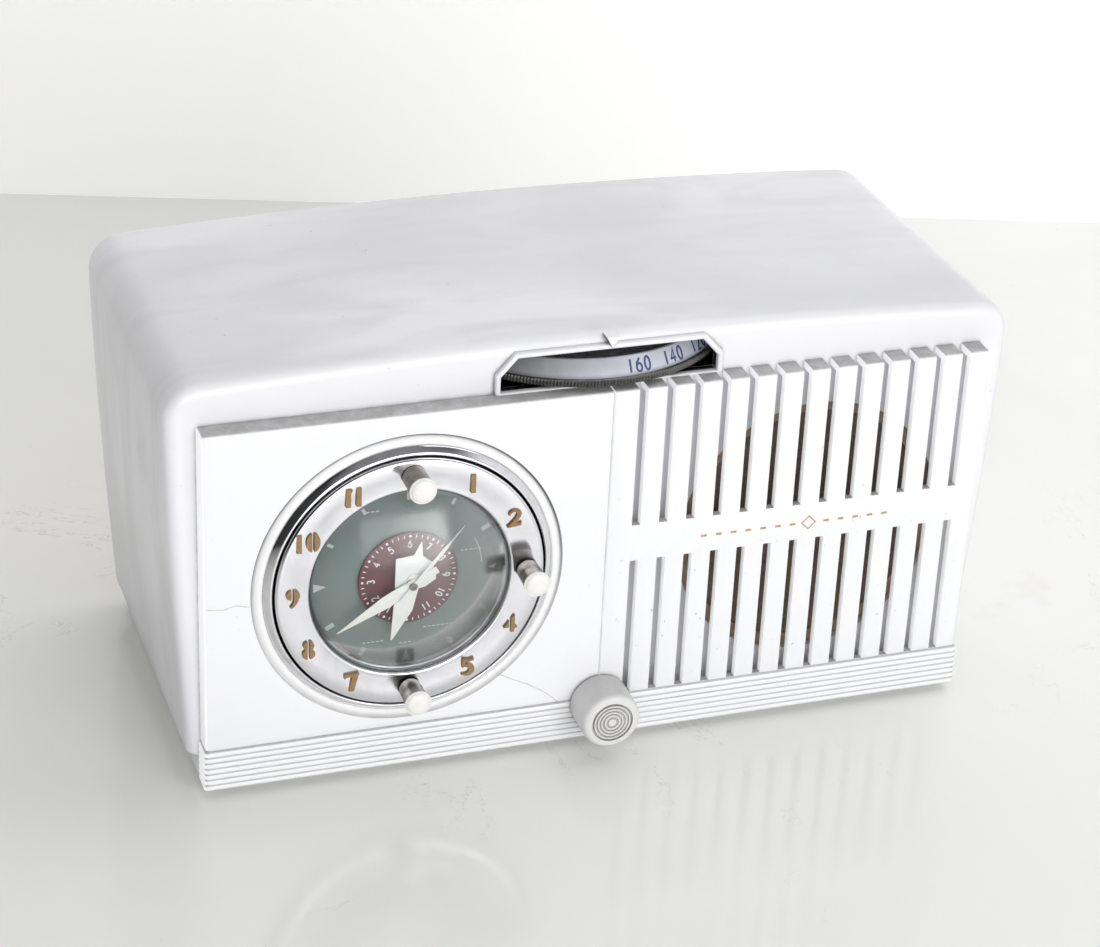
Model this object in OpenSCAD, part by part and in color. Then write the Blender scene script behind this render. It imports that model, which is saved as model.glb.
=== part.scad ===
// Table clock radio of the early 1950s: a moulded cabinet with a clock on the left, a slotted
// grille on the right and an edge-driven tuning dial between them.
// Frame: origin at the middle of the resting face, +X to the right of the front, +Z up,
// front towards -Y.

/* [Cabinet] */
// Height at the crown of the top
body_h = 174.5; // [170:0.5:182]
// Width at the shoulders
body_w = 336; // [334:1:342]
// Width where the sides meet the plinth
base_w = 322; // [320:1:326]
// Depth from the face of the raised panels to the rear edge
body_d = 160; // [156:1:170]
// Rise of the top from its ends to its middle
crown = 4.5; // [2:0.5:5]
// Radius of the upper side corners
corner_r = 14; // [10:1:18]
// Thickness of the moulded walls
wall = 3; // [2.5:0.1:3.2]
// Height of the plinth, rails included
plinth_h = 14; // [12:1:15]
// Height of the rails that it stands on
foot_h = 3; // [2:0.5:4]

/* [Front panels] */
// Width of both raised panels together
panel_w = 312; // [310:1:314]
// Top edge of the raised panels
panel_top = 153.9; // [153:0.1:154.5]
// How far the panels stand out of the cabinet face
panel_proud = 9; // [8:0.5:9.5]
// Height at which the ribbed band starts
flute_top = 20.2; // [18:0.1:22]
// Number of ribs in the band
flute_count = 7; // [5:1:8]
// Number of grille slots
slot_count = 13; // [9:1:13]
// Distance between slot centres
slot_pitch = 11.1; // [10.8:0.05:11.2]
// Width of one slot
slot_w = 3.5; // [3:0.1:4.5]

/* [Clock] */
// Clock centre, to the left of the middle
clock_x = -77.5; // [-79:0.5:-76]
// Clock centre height
clock_z = 84.7; // [84:0.1:86]
// Outer radius of the numeral ring
ring_r = 52.4; // [52:0.1:52.6]
// Radius of the glazed opening
glass_r = 39; // [38:0.5:39.5]
// Radius on which the three clock knobs sit
knob_circle_r = 45.5; // [45.5:0.5:46]
// Radius of the alarm disc
alarm_disc_r = 19.4; // [18:0.1:20]

/* [Tuning] */
// Radius of the tuning wheel at its knurled rim
dial_r = 61.5; // [60:0.5:62]

/* [Hidden] */

$fn = 64;
front_y = -body_d / 2;              // face of the raised panels
face_y = front_y + panel_proud;     // face of the cabinet behind them
inner_y = face_y + wall;            // inside of the front wall
rear_y = body_d / 2;
shoulder_z = 158;
crown_slope = atan(2 * crown / (body_w / 2 - corner_r));
corner_x = body_w / 2 - corner_r;
corner_z = body_h - crown - corner_r * cos(crown_slope);
crown_x = corner_x + corner_r * sin(crown_slope);
plinth_w = 314;
foot_w = 301;
foot_front_y = front_y + 5.5;
foot_rear_y = rear_y - 5;
floor_z = 5;                        // inside floor of the cabinet
seam_x = 1;                         // joint line between the two panels
volume_z = 19;
speaker_x = 89;
speaker_z = 80;
speaker_hole_r = 55;
dial_x = 2;
dial_y = front_y + 62;
rim_z = 156;                        // underside of the tuning wheel's rim
window_x = 1.4;
chassis_z = 39.2;                   // top of the chassis
plate_y = inner_y + 0.2;            // front of the clock's mounting plate
clock_work_y = plate_y + 1.2;       // back of that plate
rear_plate_y = clock_work_y + 14;
cover_y = rear_y - 7;
hour_angle = 198;
minute_angle = 240;
second_angle = 39.5;
alarm_pointer_angle = 12;
disc_y = front_y + 0.8;             // fronts of the alarm disc and of the parts before it
hour_plate_y = front_y - 3.3;
hour_hand_y = front_y - 4;
minute_hand_y = front_y - 4.9;
second_hand_y = front_y - 6.1;
white_plastic = [0.93, 0.93, 0.93];

// Solids drawn on the XY plane are stood up so that they run from y to y + length.
module along_y(y, length) {
    translate([0, y + length, 0]) rotate([90, 0, 0]) linear_extrude(length) children();
}

// A round bar or bore along Y.
module bar_y(x, y, z, r, length) {
    translate([x, y, z]) rotate([-90, 0, 0]) cylinder(r = r, h = length);
}

// A body of revolution about an axis along Y: profile points are [radius, distance to the rear].
module turned_y(x, z, points) {
    translate([x, 0, z]) rotate([-90, 0, 0]) rotate_extrude() polygon(points);
}

// Turns children clockwise, as seen from the front, about the clock centre.
module clockwise(angle) { rotate([0, angle, 0]) children(); }

// Half width of the cabinet side at height z.
function side_x(z) = base_w / 2 + (body_w - base_w) / 2
    * (1 - pow(max(0, shoulder_z - z) / (shoulder_z - plinth_h), 1.5));

function right_outline(inset) = concat(
    [for (k = [0:9]) let (z = plinth_h + (corner_z - plinth_h) * k / 9) [side_x(z) - inset, z]],
    [for (a = [15:15:90 - crown_slope])
        [corner_x + (corner_r - inset) * cos(a), corner_z + (corner_r - inset) * sin(a)]],
    [for (k = [8:-1:0]) let (x = crown_x * k / 8)
        [x, body_h - inset - crown * pow(x / crown_x, 2)]]);

function mirrored(points) = [for (k = [len(points) - 2:-1:0]) [-points[k][0], points[k][1]]];

// Outline of the cabinet seen from the front, drawn in by inset all round but at the bottom.
module cabinet_outline(inset) {
    right = right_outline(inset);
    polygon(concat(right, mirrored(right)));
}

module rounded_body() {
    hull() {
        for (s = [[0, 5], [1.2, 2.4], [3, 0.8], [6, 0]])
            along_y(face_y + s[0], 0.4) cabinet_outline(s[1]);
        for (s = [[0.4, 8], [1.6, 4], [4, 1.4], [8, 0]])
            along_y(rear_y - s[0], 0.4) cabinet_outline(s[1]);
    }
}

// Opening for the tuning wheel; its rim is the same outline, grown, but stops at the panels.
module window_outline(grow) {
    half = 43 + grow;
    low = panel_top + max(0, 0.8 - grow);
    polygon([[window_x - half, low], [window_x - half, 161 + grow / 2],
        [window_x - 36.5 - grow / 2, 168.2 + grow], [window_x + 36.5 + grow / 2, 168.2 + grow],
        [window_x + half, 161 + grow / 2], [window_x + half, low]]);
}

cover_points = [for (p = [[155, 30], [161, 138], [60, 166.5]], side = [-1, 1])
    [side * p[0], p[1]]];
speaker_screw_points = [for (a = [45:90:315])
    [speaker_x + 60 * cos(a), speaker_z + 60 * sin(a)]];
clock_screw_points = [for (a = [15, 135, 255]) [clock_x + 58.5 * cos(a), clock_z + 58.5 * sin(a)]];
chassis_screw_points = [[-14, 28], [134, 28], [20, 1], [110, 54]];

module cabinet() color(white_plastic) difference() {
    union() {
        difference() {
            union() {
                rounded_body();
                translate([-plinth_w / 2, face_y, foot_h])
                    cube([plinth_w, body_d - panel_proud - 4, plinth_h - foot_h + 1]);
                along_y(face_y - 1.8, 4) window_outline(2.2);
            }
            along_y(inner_y, body_d) intersection() {
                cabinet_outline(wall);
                translate([-200, floor_z]) square([400, 200]);
            }
            translate([-plinth_w / 2 + wall, inner_y, floor_z])
                cube([plinth_w - 2 * wall, body_d, plinth_h]);
            along_y(face_y - 5, 20) window_outline(0);
            bar_y(clock_x, face_y - 1, clock_z, 54.4, 10);
            bar_y(speaker_x, face_y - 1, speaker_z, speaker_hole_r, 10);
            bar_y(seam_x, face_y - 1, volume_z, 4.6, 10);
        }
        for (p = cover_points) bar_y(p[0], cover_y - 15, p[1], 5, 15);
    }
    for (p = cover_points) bar_y(p[0], cover_y - 12, p[1], 1.6, 13);
    for (p = speaker_screw_points) bar_y(p[0], face_y + 0.8, p[1], 1.6, 3);
    for (p = clock_screw_points) bar_y(p[0], face_y + 0.8, p[1], 1.6, 3);
    for (p = chassis_screw_points) translate([p[0], p[1], 1]) cylinder(r = 2.1, h = 6);
    for (x = [-120:20:120]) if (abs(x) > 15) translate([x - 2, 30, 1]) cube([4, 34, 6]);
}

// Rails under the plinth: across the front and the rear, down both sides and down the middle.
module foot_rails() color(white_plastic) {
    front_depth = 14.5;
    rear_depth = 10;
    side_w = 10.5;
    middle_w = 16;
    span_y = foot_front_y + front_depth;
    span = foot_rear_y - rear_depth - span_y;
    translate([-foot_w / 2, foot_front_y, 0]) cube([foot_w, front_depth, foot_h]);
    translate([-foot_w / 2, foot_rear_y - rear_depth, 0]) cube([foot_w, rear_depth, foot_h]);
    for (x = [-foot_w / 2, foot_w / 2 - side_w]) translate([x, span_y, 0])
        cube([side_w, span, foot_h]);
    translate([-middle_w / 2, span_y, 0]) cube([middle_w, span, foot_h]);
}

// Face plate of one raised panel from x0 to x1, with its ribbed band along the bottom.
module panel_body(x0, x1) {
    rib = (flute_top - foot_h) / flute_count;
    inner_left = x0 < -10 ? x0 + wall : x0 - 1;
    inner_right = x1 > 10 ? x1 - wall : x1 + 1;
    difference() {
        translate([x0, front_y, foot_h]) cube([x1 - x0, panel_proud, panel_top - foot_h]);
        translate([inner_left, front_y + wall, foot_h + wall])
            cube([inner_right - inner_left, panel_proud, panel_top - foot_h - 2 * wall]);
        for (k = [1:flute_count]) translate([x0 - 1, front_y, foot_h + k * rib])
            rotate([45, 0, 0]) cube([x1 - x0 + 2, 1.1, 1.1]);
        bar_y(seam_x, front_y - 1, volume_z, 4.8, 12);
    }
}

module clock_panel() color(white_plastic) difference() {
    panel_body(-panel_w / 2, seam_x - 0.3);
    bar_y(clock_x, front_y - 1, clock_z, 60.8, 2);
    bar_y(clock_x, front_y - 1, clock_z, 54.4, 12);
}

function slot_x(k) = 12.6 + (k - 1) * slot_pitch;

module grille_panel() color(white_plastic) difference() {
    panel_body(seam_x + 0.3, panel_w / 2);
    for (k = [1:slot_count]) {
        translate([slot_x(k) - slot_w / 2, front_y - 1, 95.7]) cube([slot_w, 12, 60]);
        translate([slot_x(k) - slot_w / 2, front_y - 1, 20.7]) cube([slot_w, 12, 59.5]);
    }
}

module back_cover() color([0.36, 0.26, 0.18]) difference() {
    along_y(cover_y, 2.5) {
        cabinet_outline(wall + 0.6);
        translate([0.5 - plinth_w / 2 + wall, floor_z + 0.5])
            square([plinth_w - 2 * wall - 1, plinth_h - floor_z]);
    }
    for (p = cover_points) bar_y(p[0], cover_y - 1, p[1], 1.8, 5);
    for (row = [0:3], col = [-6:6])
        bar_y(col * 18 + (row % 2) * 9, cover_y - 1, 122 + row * 9, 2.6, 5);
    for (col = [0:8]) translate([col * 14 - 10, cover_y - 1, 30]) cube([4, 5, 26]);
    bar_y(clock_x, cover_y - 1, clock_z, 2.5, 5);
    bar_y(cord_x, cover_y - 1, cord_z, 5, 5);
}

module back_screws() color([0.7, 0.68, 0.62]) for (p = cover_points) {
    bar_y(p[0], cover_y - 8, p[1], 1.5, 10.5);
    bar_y(p[0], cover_y + 2.5, p[1], 3.6, 1.8);
}

// Frame-shaped turns of the aerial, wound flat against the rear cover.
module loop_antenna() color([0.6, 0.36, 0.2]) for (k = [0:4]) {
    half = 138 - k * 3.2;
    along_y(cover_y - 2.2, 2) difference() {
        translate([-half, 22 + k * 3.2]) square([2 * half, 92 - 6.4 * k]);
        translate([-half + 1.6, 23.6 + k * 3.2]) square([2 * half - 3.2, 88.8 - 6.4 * k]);
    }
}

module chassis() color([0.62, 0.63, 0.62]) difference() {
    translate([-20, -5, floor_z]) cube([160, 63, chassis_z - floor_z]);
    translate([-18.8, -3.8, floor_z + 1.2]) cube([157.6, 60.6, chassis_z - floor_z - 2.4]);
    translate([-8, 8, floor_z - 1]) cube([136, 38, 4]);
    for (p = chassis_screw_points) translate([p[0], p[1], floor_z - 1]) cylinder(r = 2.1, h = 4);
    for (p = socket_points) translate([p[0], p[1], chassis_z - 3]) cylinder(r = 6.2, h = 6);
}

module chassis_screws() color([0.7, 0.68, 0.62]) for (p = chassis_screw_points) {
    translate([p[0], p[1], foot_h - 1.6]) cylinder(r = 3.8, h = 1.6);
    translate([p[0], p[1], foot_h]) cylinder(r = 2, h = 5.2);
}

module speaker_frame() color([0.3, 0.3, 0.31]) difference() {
    turned_y(speaker_x, speaker_z, [[50, inner_y], [64, inner_y], [64, inner_y + 1.5],
        [55, inner_y + 1.5], [26, inner_y + 25], [26, inner_y + 28], [0, inner_y + 28],
        [0, inner_y + 26.4], [24.4, inner_y + 26.4], [24.4, inner_y + 24.6], [53.6, inner_y + 1],
        [50, inner_y + 1]]);
    for (p = speaker_screw_points) bar_y(p[0], inner_y - 1, p[1], 1.8, 4);
    for (a = [0:90:270]) translate([speaker_x, inner_y + 4, speaker_z]) rotate([0, a + 45, 0])
        translate([30, 0, -9]) cube([20, 18, 18]);
}

module speaker_cone() color([0.3, 0.22, 0.15]) turned_y(speaker_x, speaker_z,
    [[49.6, inner_y + 0.4], [48.4, inner_y + 1], [12, inner_y + 19], [6, inner_y + 16.5],
    [0, inner_y + 15.5], [0, inner_y + 16.5], [6, inner_y + 17.5], [11.4, inner_y + 20.4],
    [11.4, inner_y + 25], [12.2, inner_y + 25], [12.2, inner_y + 20.2],
    [48.8, inner_y + 1.9], [49.6, inner_y + 1.4]]);

module speaker_magnet() color([0.5, 0.5, 0.52]) {
    bar_y(speaker_x, inner_y + 28, speaker_z, 17, 16);
    bar_y(speaker_x, inner_y + 44, speaker_z, 21, 3);
}

// Round-head screws that hold the speaker and the clock to the front wall.
module frame_screws() color([0.7, 0.68, 0.62]) {
    for (p = speaker_screw_points) {
        bar_y(p[0], inner_y - 2, p[1], 1.5, 3.5);
        bar_y(p[0], inner_y + 1.5, p[1], 3.2, 2);
    }
    for (p = clock_screw_points) {
        bar_y(p[0], inner_y - 2, p[1], 1.5, clock_work_y - inner_y + 2);
        bar_y(p[0], clock_work_y, p[1], 3, 2);
    }
}

socket_points = [[0, 43], [40, 43], [80, 43], [112, 43], [126, 14]];

module tube_sockets() color([0.42, 0.26, 0.15]) for (p = socket_points)
    translate([p[0], p[1], chassis_z]) difference() {
        union() {
            translate([0, 0, -3]) cylinder(r = 6, h = 6.5);
            cylinder(r = 9, h = 3.5);
        }
        for (a = [0:51.4:309]) rotate(a) translate([4.4, 0, -4]) cylinder(r = 0.6, h = 9);
    }

module tube_glass() color([0.8, 0.85, 0.88, 0.5]) for (p = socket_points)
    translate([p[0], p[1], chassis_z + 3.5]) rotate_extrude() polygon(concat(
        [[0, 0], [8.6, 0], [8.6, 38]],
        [for (a = [15:15:75]) [8.6 * cos(a), 38 + 7 * sin(a)]],
        [[1.2, 45], [0.8, 48], [0, 48], [0, 44.5], [7.6, 37], [7.6, 1], [0, 1]]));

module tube_plates() color([0.35, 0.36, 0.38]) for (p = socket_points)
    translate([p[0], p[1], chassis_z + 4.5]) {
        translate([0, 0, 6]) cylinder(r = 4.6, h = 22);
        for (z = [3, 29]) translate([0, 0, z]) cylinder(r = 6.6, h = 0.6);
        for (a = [0, 120, 240]) rotate(a) translate([5.4, 0, 0]) cylinder(r = 0.4, h = 30);
    }

module if_cans() color([0.75, 0.76, 0.77]) for (x = [20, 60])
    translate([x, 43, chassis_z]) difference() {
        translate([-9.5, -9.5, 0]) cube([19, 19, 48]);
        translate([0, 0, 40]) cylinder(r = 3, h = 10);
    }

module output_core() color([0.32, 0.32, 0.34]) translate([62, 12, chassis_z]) difference() {
    translate([-19, -8, 0]) cube([38, 16, 32]);
    for (side = [-1, 1]) translate([side * 9.5 - 3.5, -9, 6]) cube([7, 18, 20]);
}

module output_coil() color([0.65, 0.5, 0.3]) translate([62, 12, chassis_z + 6.5]) difference() {
    translate([-12.5, -12, 0]) cube([25, 24, 19]);
    translate([-6, -8, -1]) cube([12, 16, 21]);
}

module filter_can() color([0.78, 0.79, 0.8]) translate([100, 13, chassis_z]) {
    cylinder(r = 11, h = 52);
    translate([0, 0, 52]) cylinder(r = 9.5, h = 1);
}

module tuner_frame() color([0.66, 0.67, 0.66]) difference() {
    union() {
        lamp_bracket();
        translate([dial_x - 22, 10, chassis_z]) cube([44, 1.4, 147 - chassis_z]);
        for (z = [106, 145.6]) translate([dial_x - 22, -42, z]) cube([44, 53.4, 1.4]);
        translate([dial_x - 22, 11.4, chassis_z]) cube([44, 10, 1.4]);
    }
    translate([dial_x, dial_y, 100]) cylinder(r = 3.05, h = 60);
    translate([dial_x - 12, 5, 50]) cube([24, 10, 46]);
}

module tuner_stator() color([0.8, 0.8, 0.78]) {
    for (k = [0:6]) translate([dial_x - 20, dial_y, 112 + k * 4.4 + 2.2]) difference() {
        translate([0, 1.5, 0]) cube([40, 20, 0.8]);
        translate([20, 0, -1]) cylinder(r = 5.6, h = 3);
    }
    for (side = [-1, 1]) translate([dial_x + side * 18.6 - 1.4, dial_y + 14, 107.4])
        cube([2.8, 3, 38.2]);
}

module dial_lamp() color([0.95, 0.9, 0.75]) translate([-34, -30, 148.4]) {
    sphere(r = 4.5);
    translate([0, 0, -10]) cylinder(r = 3.8, h = 7.5);
}

module lamp_bracket() {
    translate([-34, -30, 136]) difference() {
        cylinder(r = 5, h = 8);
        translate([0, 0, 2.4]) cylinder(r = 3.8, h = 9);
    }
    translate([-40, -30.6, 130]) cube([20, 1.2, 6]);
    translate([-21.2, -42, 106]) cube([1.2, 14, 30]);
}

module volume_control() color([0.55, 0.56, 0.57]) difference() {
    union() {
        bar_y(seam_x, inner_y, volume_z, 12, 11);
        bar_y(seam_x, inner_y + 11, volume_z, 10, 9);
        bar_y(seam_x, inner_y - 6.5, volume_z, 4.5, 6.6);
    }
    bar_y(seam_x, inner_y - 8, volume_z, 3.05, 17);
}

module volume_nut() color([0.75, 0.74, 0.7]) difference() {
    translate([seam_x, face_y - 2.4, volume_z]) rotate([-90, 0, 0])
        cylinder(r = 8, h = 2.4, $fn = 6);
    bar_y(seam_x, face_y - 3, volume_z, 4.5, 4);
}

module volume_shaft() color([0.72, 0.72, 0.7])
    bar_y(seam_x, front_y - 13, volume_z, 3, 13 + panel_proud + wall + 5);

module volume_knob() color(white_plastic) difference() {
    turned_y(seam_x, volume_z, [[0, front_y - 17.5], [9.4, front_y - 17.5],
        [10.6, front_y - 17], [11.5, front_y - 15.4], [11.9, front_y - 12],
        [11.9, front_y - 0.6], [0, front_y - 0.6]]);
    bar_y(seam_x, front_y - 13, volume_z, 3, 14);
    for (r = [2.2, 3.6, 5, 6.4, 7.8]) turned_y(seam_x, volume_z,
        [[r - 0.3, front_y - 18], [r + 0.3, front_y - 18], [r, front_y - 17]]);
}

// Toothed disc about Y: teeth of module m, one tooth centred at the given angle from +X.
module gear_y(y, m, teeth, width, angle, bore_r) {
    pitch_r = m * teeth / 2;
    step = 360 / teeth;
    outline = [for (k = [0:teeth - 1], p = [[-0.31, -1.15], [-0.12, 0.8], [0.12, 0.8],
        [0.31, -1.15]]) let (a = angle + (k + p[0]) * step, r = pitch_r + p[1] * m)
        [r * cos(a), r * sin(a)]];
    along_y(y, width) difference() {
        polygon(outline);
        circle(r = bore_r);
    }
}

alarm_m = 2 * knob_circle_r / 91;    // 20 and 71 teeth share the knob circle as centre distance
work_c = 27;                        // centre distance of the motion work
work_angle = 225;
cannon_m = 2 * work_c / (18 + 54);
hour_m = 2 * work_c / (16 + 64);
cord_x = 82;                        // where the mains lead leaves the rear cover
cord_z = 60;
cord_r = 2.3;
coil_y = cover_y + 9.2;             // plane of the coiled lead
turn_r = 18;                        // first half turn of the coil
turn_step = 2.5;
last_turn_r = 36;

module clock_bezel() color([0.8, 0.81, 0.83]) turned_y(clock_x, clock_z, [
    [53.9, front_y + 1], [56.3, front_y + 1], [56.3, front_y - 0.4], [55.2, front_y - 2],
    [54.2, front_y - 1.6], [53.4, front_y - 0.2], [52.9, front_y - 2.4], [52.5, front_y - 2.2],
    [52.5, plate_y], [53.9, plate_y]]);

function front_knob_points() = [[0, knob_circle_r], [knob_circle_r, 0], [0, -knob_circle_r]];

module numeral_ring() color([0.85, 0.86, 0.88]) difference() {
    turned_y(clock_x, clock_z, [[glass_r, front_y - 1.4], [glass_r + 0.8, front_y - 2.8],
        [ring_r - 0.6, front_y - 3.6], [ring_r, front_y - 3.2], [ring_r, plate_y],
        [ring_r - 0.8, plate_y], [ring_r - 0.8, front_y - 2.6], [glass_r + 1.6, front_y - 1.8],
        [glass_r + 1.2, front_y + 0.4], [glass_r, front_y + 0.4]]);
    for (p = front_knob_points()) bar_y(clock_x + p[0], front_y - 5, clock_z + p[1], 2.3, 6);
}

// Bars of a plain block numeral, on a grid four wide and seven high.
module bar_digit(digit) {
    bars = [[0, 1, 2, 4, 5, 6], [2, 5], [0, 2, 3, 4, 6], [0, 2, 3, 5, 6], [1, 2, 3, 5],
        [0, 1, 3, 5, 6], [0, 1, 3, 4, 5, 6], [0, 2, 5], [0, 1, 2, 3, 4, 5, 6],
        [0, 1, 2, 3, 5, 6]][digit];
    shapes = [[-2, 2.8, 4, 1.2], [-2, 0, 1.4, 4], [0.6, 0, 1.4, 4], [-2, -0.6, 4, 1.2],
        [-2, -4, 1.4, 4], [0.6, -4, 1.4, 4], [-2, -4, 4, 1.2]];
    for (b = bars) translate([shapes[b][0], shapes[b][1]]) square([shapes[b][2], shapes[b][3]]);
}

module hour_numerals() color([0.62, 0.45, 0.22]) for (h = [1, 2, 4, 5, 7, 8, 9, 10, 11]) {
    x = clock_x + 46 * sin(30 * h);
    z = clock_z + 46 * cos(30 * h);
    along_y(front_y - 4.1, 0.5) translate([x, z]) {
        if (h < 10) bar_digit(h);
        if (h >= 10) {
            translate([-3.4, 0]) bar_digit(1);
            translate([2.4, 0]) bar_digit(h - 10);
        }
    }
}

module clock_dial() color([0.5, 0.58, 0.54]) turned_y(clock_x, clock_z, [
    [3.7, front_y + 2], [glass_r + 0.6, front_y + 2], [glass_r + 0.6, plate_y],
    [glass_r - 0.4, plate_y], [glass_r - 0.4, front_y + 2.8], [3.7, front_y + 2.8]]);

lens_sphere_r = 62;
lens_crown_y = front_y - 16.2;

// Domed glass: a thin shell between two arcs that meet the rim of the opening.
module clock_lens() color([0.85, 0.9, 0.92, 0.3]) turned_y(clock_x, clock_z, concat(
    [for (k = [0:8]) let (r = (glass_r - 0.05) * k / 8)
        [r, lens_crown_y + lens_sphere_r - sqrt(pow(lens_sphere_r, 2) - r * r)]],
    [for (k = [8:-1:0]) let (r = (glass_r - 0.05) * k / 8)
        [r, lens_crown_y + 1.2 + lens_sphere_r - sqrt(pow(lens_sphere_r, 2) - r * r)]]));

module clock_plate() color([0.68, 0.69, 0.7]) difference() {
    bar_y(clock_x, plate_y, clock_z, 62, 1.2);
    bar_y(clock_x, plate_y - 1, clock_z, 3.5, 4);
    for (p = front_knob_points()) bar_y(clock_x + p[0], plate_y - 1, clock_z + p[1], 2.05, 4);
    for (p = clock_screw_points) bar_y(p[0], plate_y - 1, p[1], 1.8, 4);
}

pillar_points = [for (a = [60, 180, 300]) [52 * cos(a), 52 * sin(a)]];

module clock_rear_plate() color([0.72, 0.66, 0.45]) difference() {
    union() {
        bar_y(clock_x, rear_plate_y, clock_z, 56, 1.2);
        for (p = pillar_points)
            bar_y(clock_x + p[0], clock_work_y, clock_z + p[1], 2.5, rear_plate_y - clock_work_y + 1);
    }
    bar_y(clock_x, rear_plate_y - 1, clock_z, 1.55, 4);
    for (p = front_knob_points())
        bar_y(clock_x + p[0], rear_plate_y - 1, clock_z + p[1], 2.05, 4);
    bar_y(clock_x + work_c * cos(work_angle), rear_plate_y - 1,
        clock_z + work_c * sin(work_angle), 1.05, 4);
}

// Laminated field of the clock motor, stood off the rear plate on two posts.
module motor_core() color([0.34, 0.34, 0.36])
    translate([clock_x, rear_plate_y + 6.2, clock_z]) {
        difference() {
            translate([-30, 0, -46]) cube([60, 12, 34]);
            translate([-22, -1, -38]) cube([16, 14, 18]);
            translate([6, -1, -38]) cube([16, 14, 18]);
        }
        for (side = [-1, 1]) bar_y(side * 26, -5, -16, 2.5, 5.5);
    }

module motor_coil() color([0.6, 0.42, 0.2])
    translate([clock_x, rear_plate_y + 1.8, clock_z]) difference() {
        translate([-21.5, 0, -37.8]) cube([43, 20, 17.6]);
        translate([-6.1, 4.3, -39]) cube([12.2, 12.2, 20]);
    }

module rotor_can() color([0.72, 0.45, 0.25]) {
    bar_y(clock_x - 30, rear_plate_y + 1.2, clock_z + 22, 15, 14);
    bar_y(clock_x - 30, rear_plate_y + 15.2, clock_z + 22, 9, 5);
}

// Mains lead: out through the rear cover, wound flat as half turns, then down to the plug.
module power_cord() color([0.2, 0.15, 0.12]) {
    middle = cord_x + turn_r;
    bar_y(cord_x, cover_y - 15, cord_z, cord_r, coil_y - cover_y + 15);
    translate([cord_x, coil_y, cord_z]) sphere(r = cord_r);
    for (k = [0:4])
        half_turn(middle - (k % 2) * turn_step, turn_r + turn_step * k, k % 2 == 0);
    half_turn(middle + turn_r + 4 * turn_step - last_turn_r, last_turn_r, false);
    translate([plug_x(), coil_y, plug_z]) cylinder(r = cord_r, h = cord_z - plug_z);
}

function plug_x() = cord_x + 2 * turn_r + 4 * turn_step - 2 * last_turn_r;
plug_z = 44;                        // top of the plug

module half_turn(x, r, lower) translate([x, coil_y, cord_z]) rotate([90, 0, 0])
    rotate(lower ? 180 : 0) rotate_extrude(angle = 180) translate([r, 0]) circle(r = cord_r);

module cord_grip() color([0.12, 0.11, 0.1]) difference() {
    turned_y(cord_x, cord_z, [[0, cover_y - 2], [5, cover_y - 2], [5, cover_y + 2.5],
        [7.5, cover_y + 2.5], [7.5, cover_y + 4], [4.5, cover_y + 6], [0, cover_y + 6]]);
    bar_y(cord_x, cover_y - 3, cord_z, cord_r, 12);
}

module plug_body() color([0.12, 0.11, 0.1]) translate([plug_x(), coil_y, plug_z])
    rotate([180, 0, 0]) cylinder(r1 = 5, r2 = 6.5, h = 26);

module plug_blades() color([0.78, 0.66, 0.35]) for (side = [-1, 1])
    translate([plug_x() + side * 3.6 - 0.75, coil_y - 3, plug_z - 26 - 15]) cube([1.5, 6, 15]);

// Tuning wheel: knurled rim at the bottom, printed cone above it, flat web and hub.
module tuning_dial() color([0.82, 0.83, 0.86]) translate([dial_x, dial_y, 0])
    rotate_extrude($fn = 96) polygon([[3, rim_z - 6], [9, rim_z - 6], [9, rim_z + 6],
        [55.2, rim_z + 6], [58.6, rim_z + 2], [58.6, rim_z], [dial_r, rim_z],
        [dial_r, rim_z + 2.6], [dial_r - 1.4, rim_z + 2.9], [dial_r - 4.6, rim_z + 9.4],
        [dial_r - 6, rim_z + 9.4], [dial_r - 6.4, rim_z + 8], [3, rim_z + 8]]);

module tuning_shaft() color([0.78, 0.66, 0.35])
    translate([dial_x, dial_y, 104]) cylinder(r = 3, h = rim_z + 8 - 104);

module tuner_rotor() color([0.82, 0.82, 0.8]) translate([dial_x, dial_y, 0]) difference() {
    union() {
        for (k = [0:7]) translate([0, 0, 112 + k * 4.4]) intersection() {
            cylinder(r = 16.5, h = 0.8);
            translate([-20, -20, -1]) cube([40, 19.5, 3]);
        }
        translate([0, 0, 110]) cylinder(r = 4.5, h = 34);
    }
    translate([0, 0, 100]) cylinder(r = 3, h = 60);
}

// Thin blade in the clock face: points are [to the right, up] with the hand pointing up.
module hand(angle, y, thick, points, boss_r, bore_r) translate([clock_x, 0, clock_z])
    clockwise(angle) along_y(y, thick) difference() {
        union() {
            polygon(points);
            circle(r = boss_r);
        }
        circle(r = bore_r);
    }

module minute_hand() color([0.9, 0.89, 0.82]) hand(minute_angle, minute_hand_y, 0.4,
    [[-1.6, -11], [1.6, -11], [2.6, 6], [2.7, 12], [0.15, 33.5], [-0.15, 33.5], [-2.7, 12],
    [-2.6, 6]], 2.6, 1.5);

module hour_hand() color([0.9, 0.89, 0.82]) hand(hour_angle, hour_hand_y, 0.4,
    [[-2, -4], [2, -4], [4.2, 10.5], [0.3, 24.5], [-0.3, 24.5], [-3.6, 10.5]], 3.6, 2.4);

// White plate behind the hour hand; its spike points to the set time on the alarm disc.
module hour_plate() color(white_plastic) hand(alarm_pointer_angle, hour_plate_y, 0.3,
    [[-5.4, -5.2], [5.6, -1], [9.3, 2.8], [7.6, 6.6], [6.5, 9.4], [1.9, 11.8], [0, 18],
    [-1.7, 11.8], [-8.4, 9.7], [-6.4, -0.8]], 4, 2.4);

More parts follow.
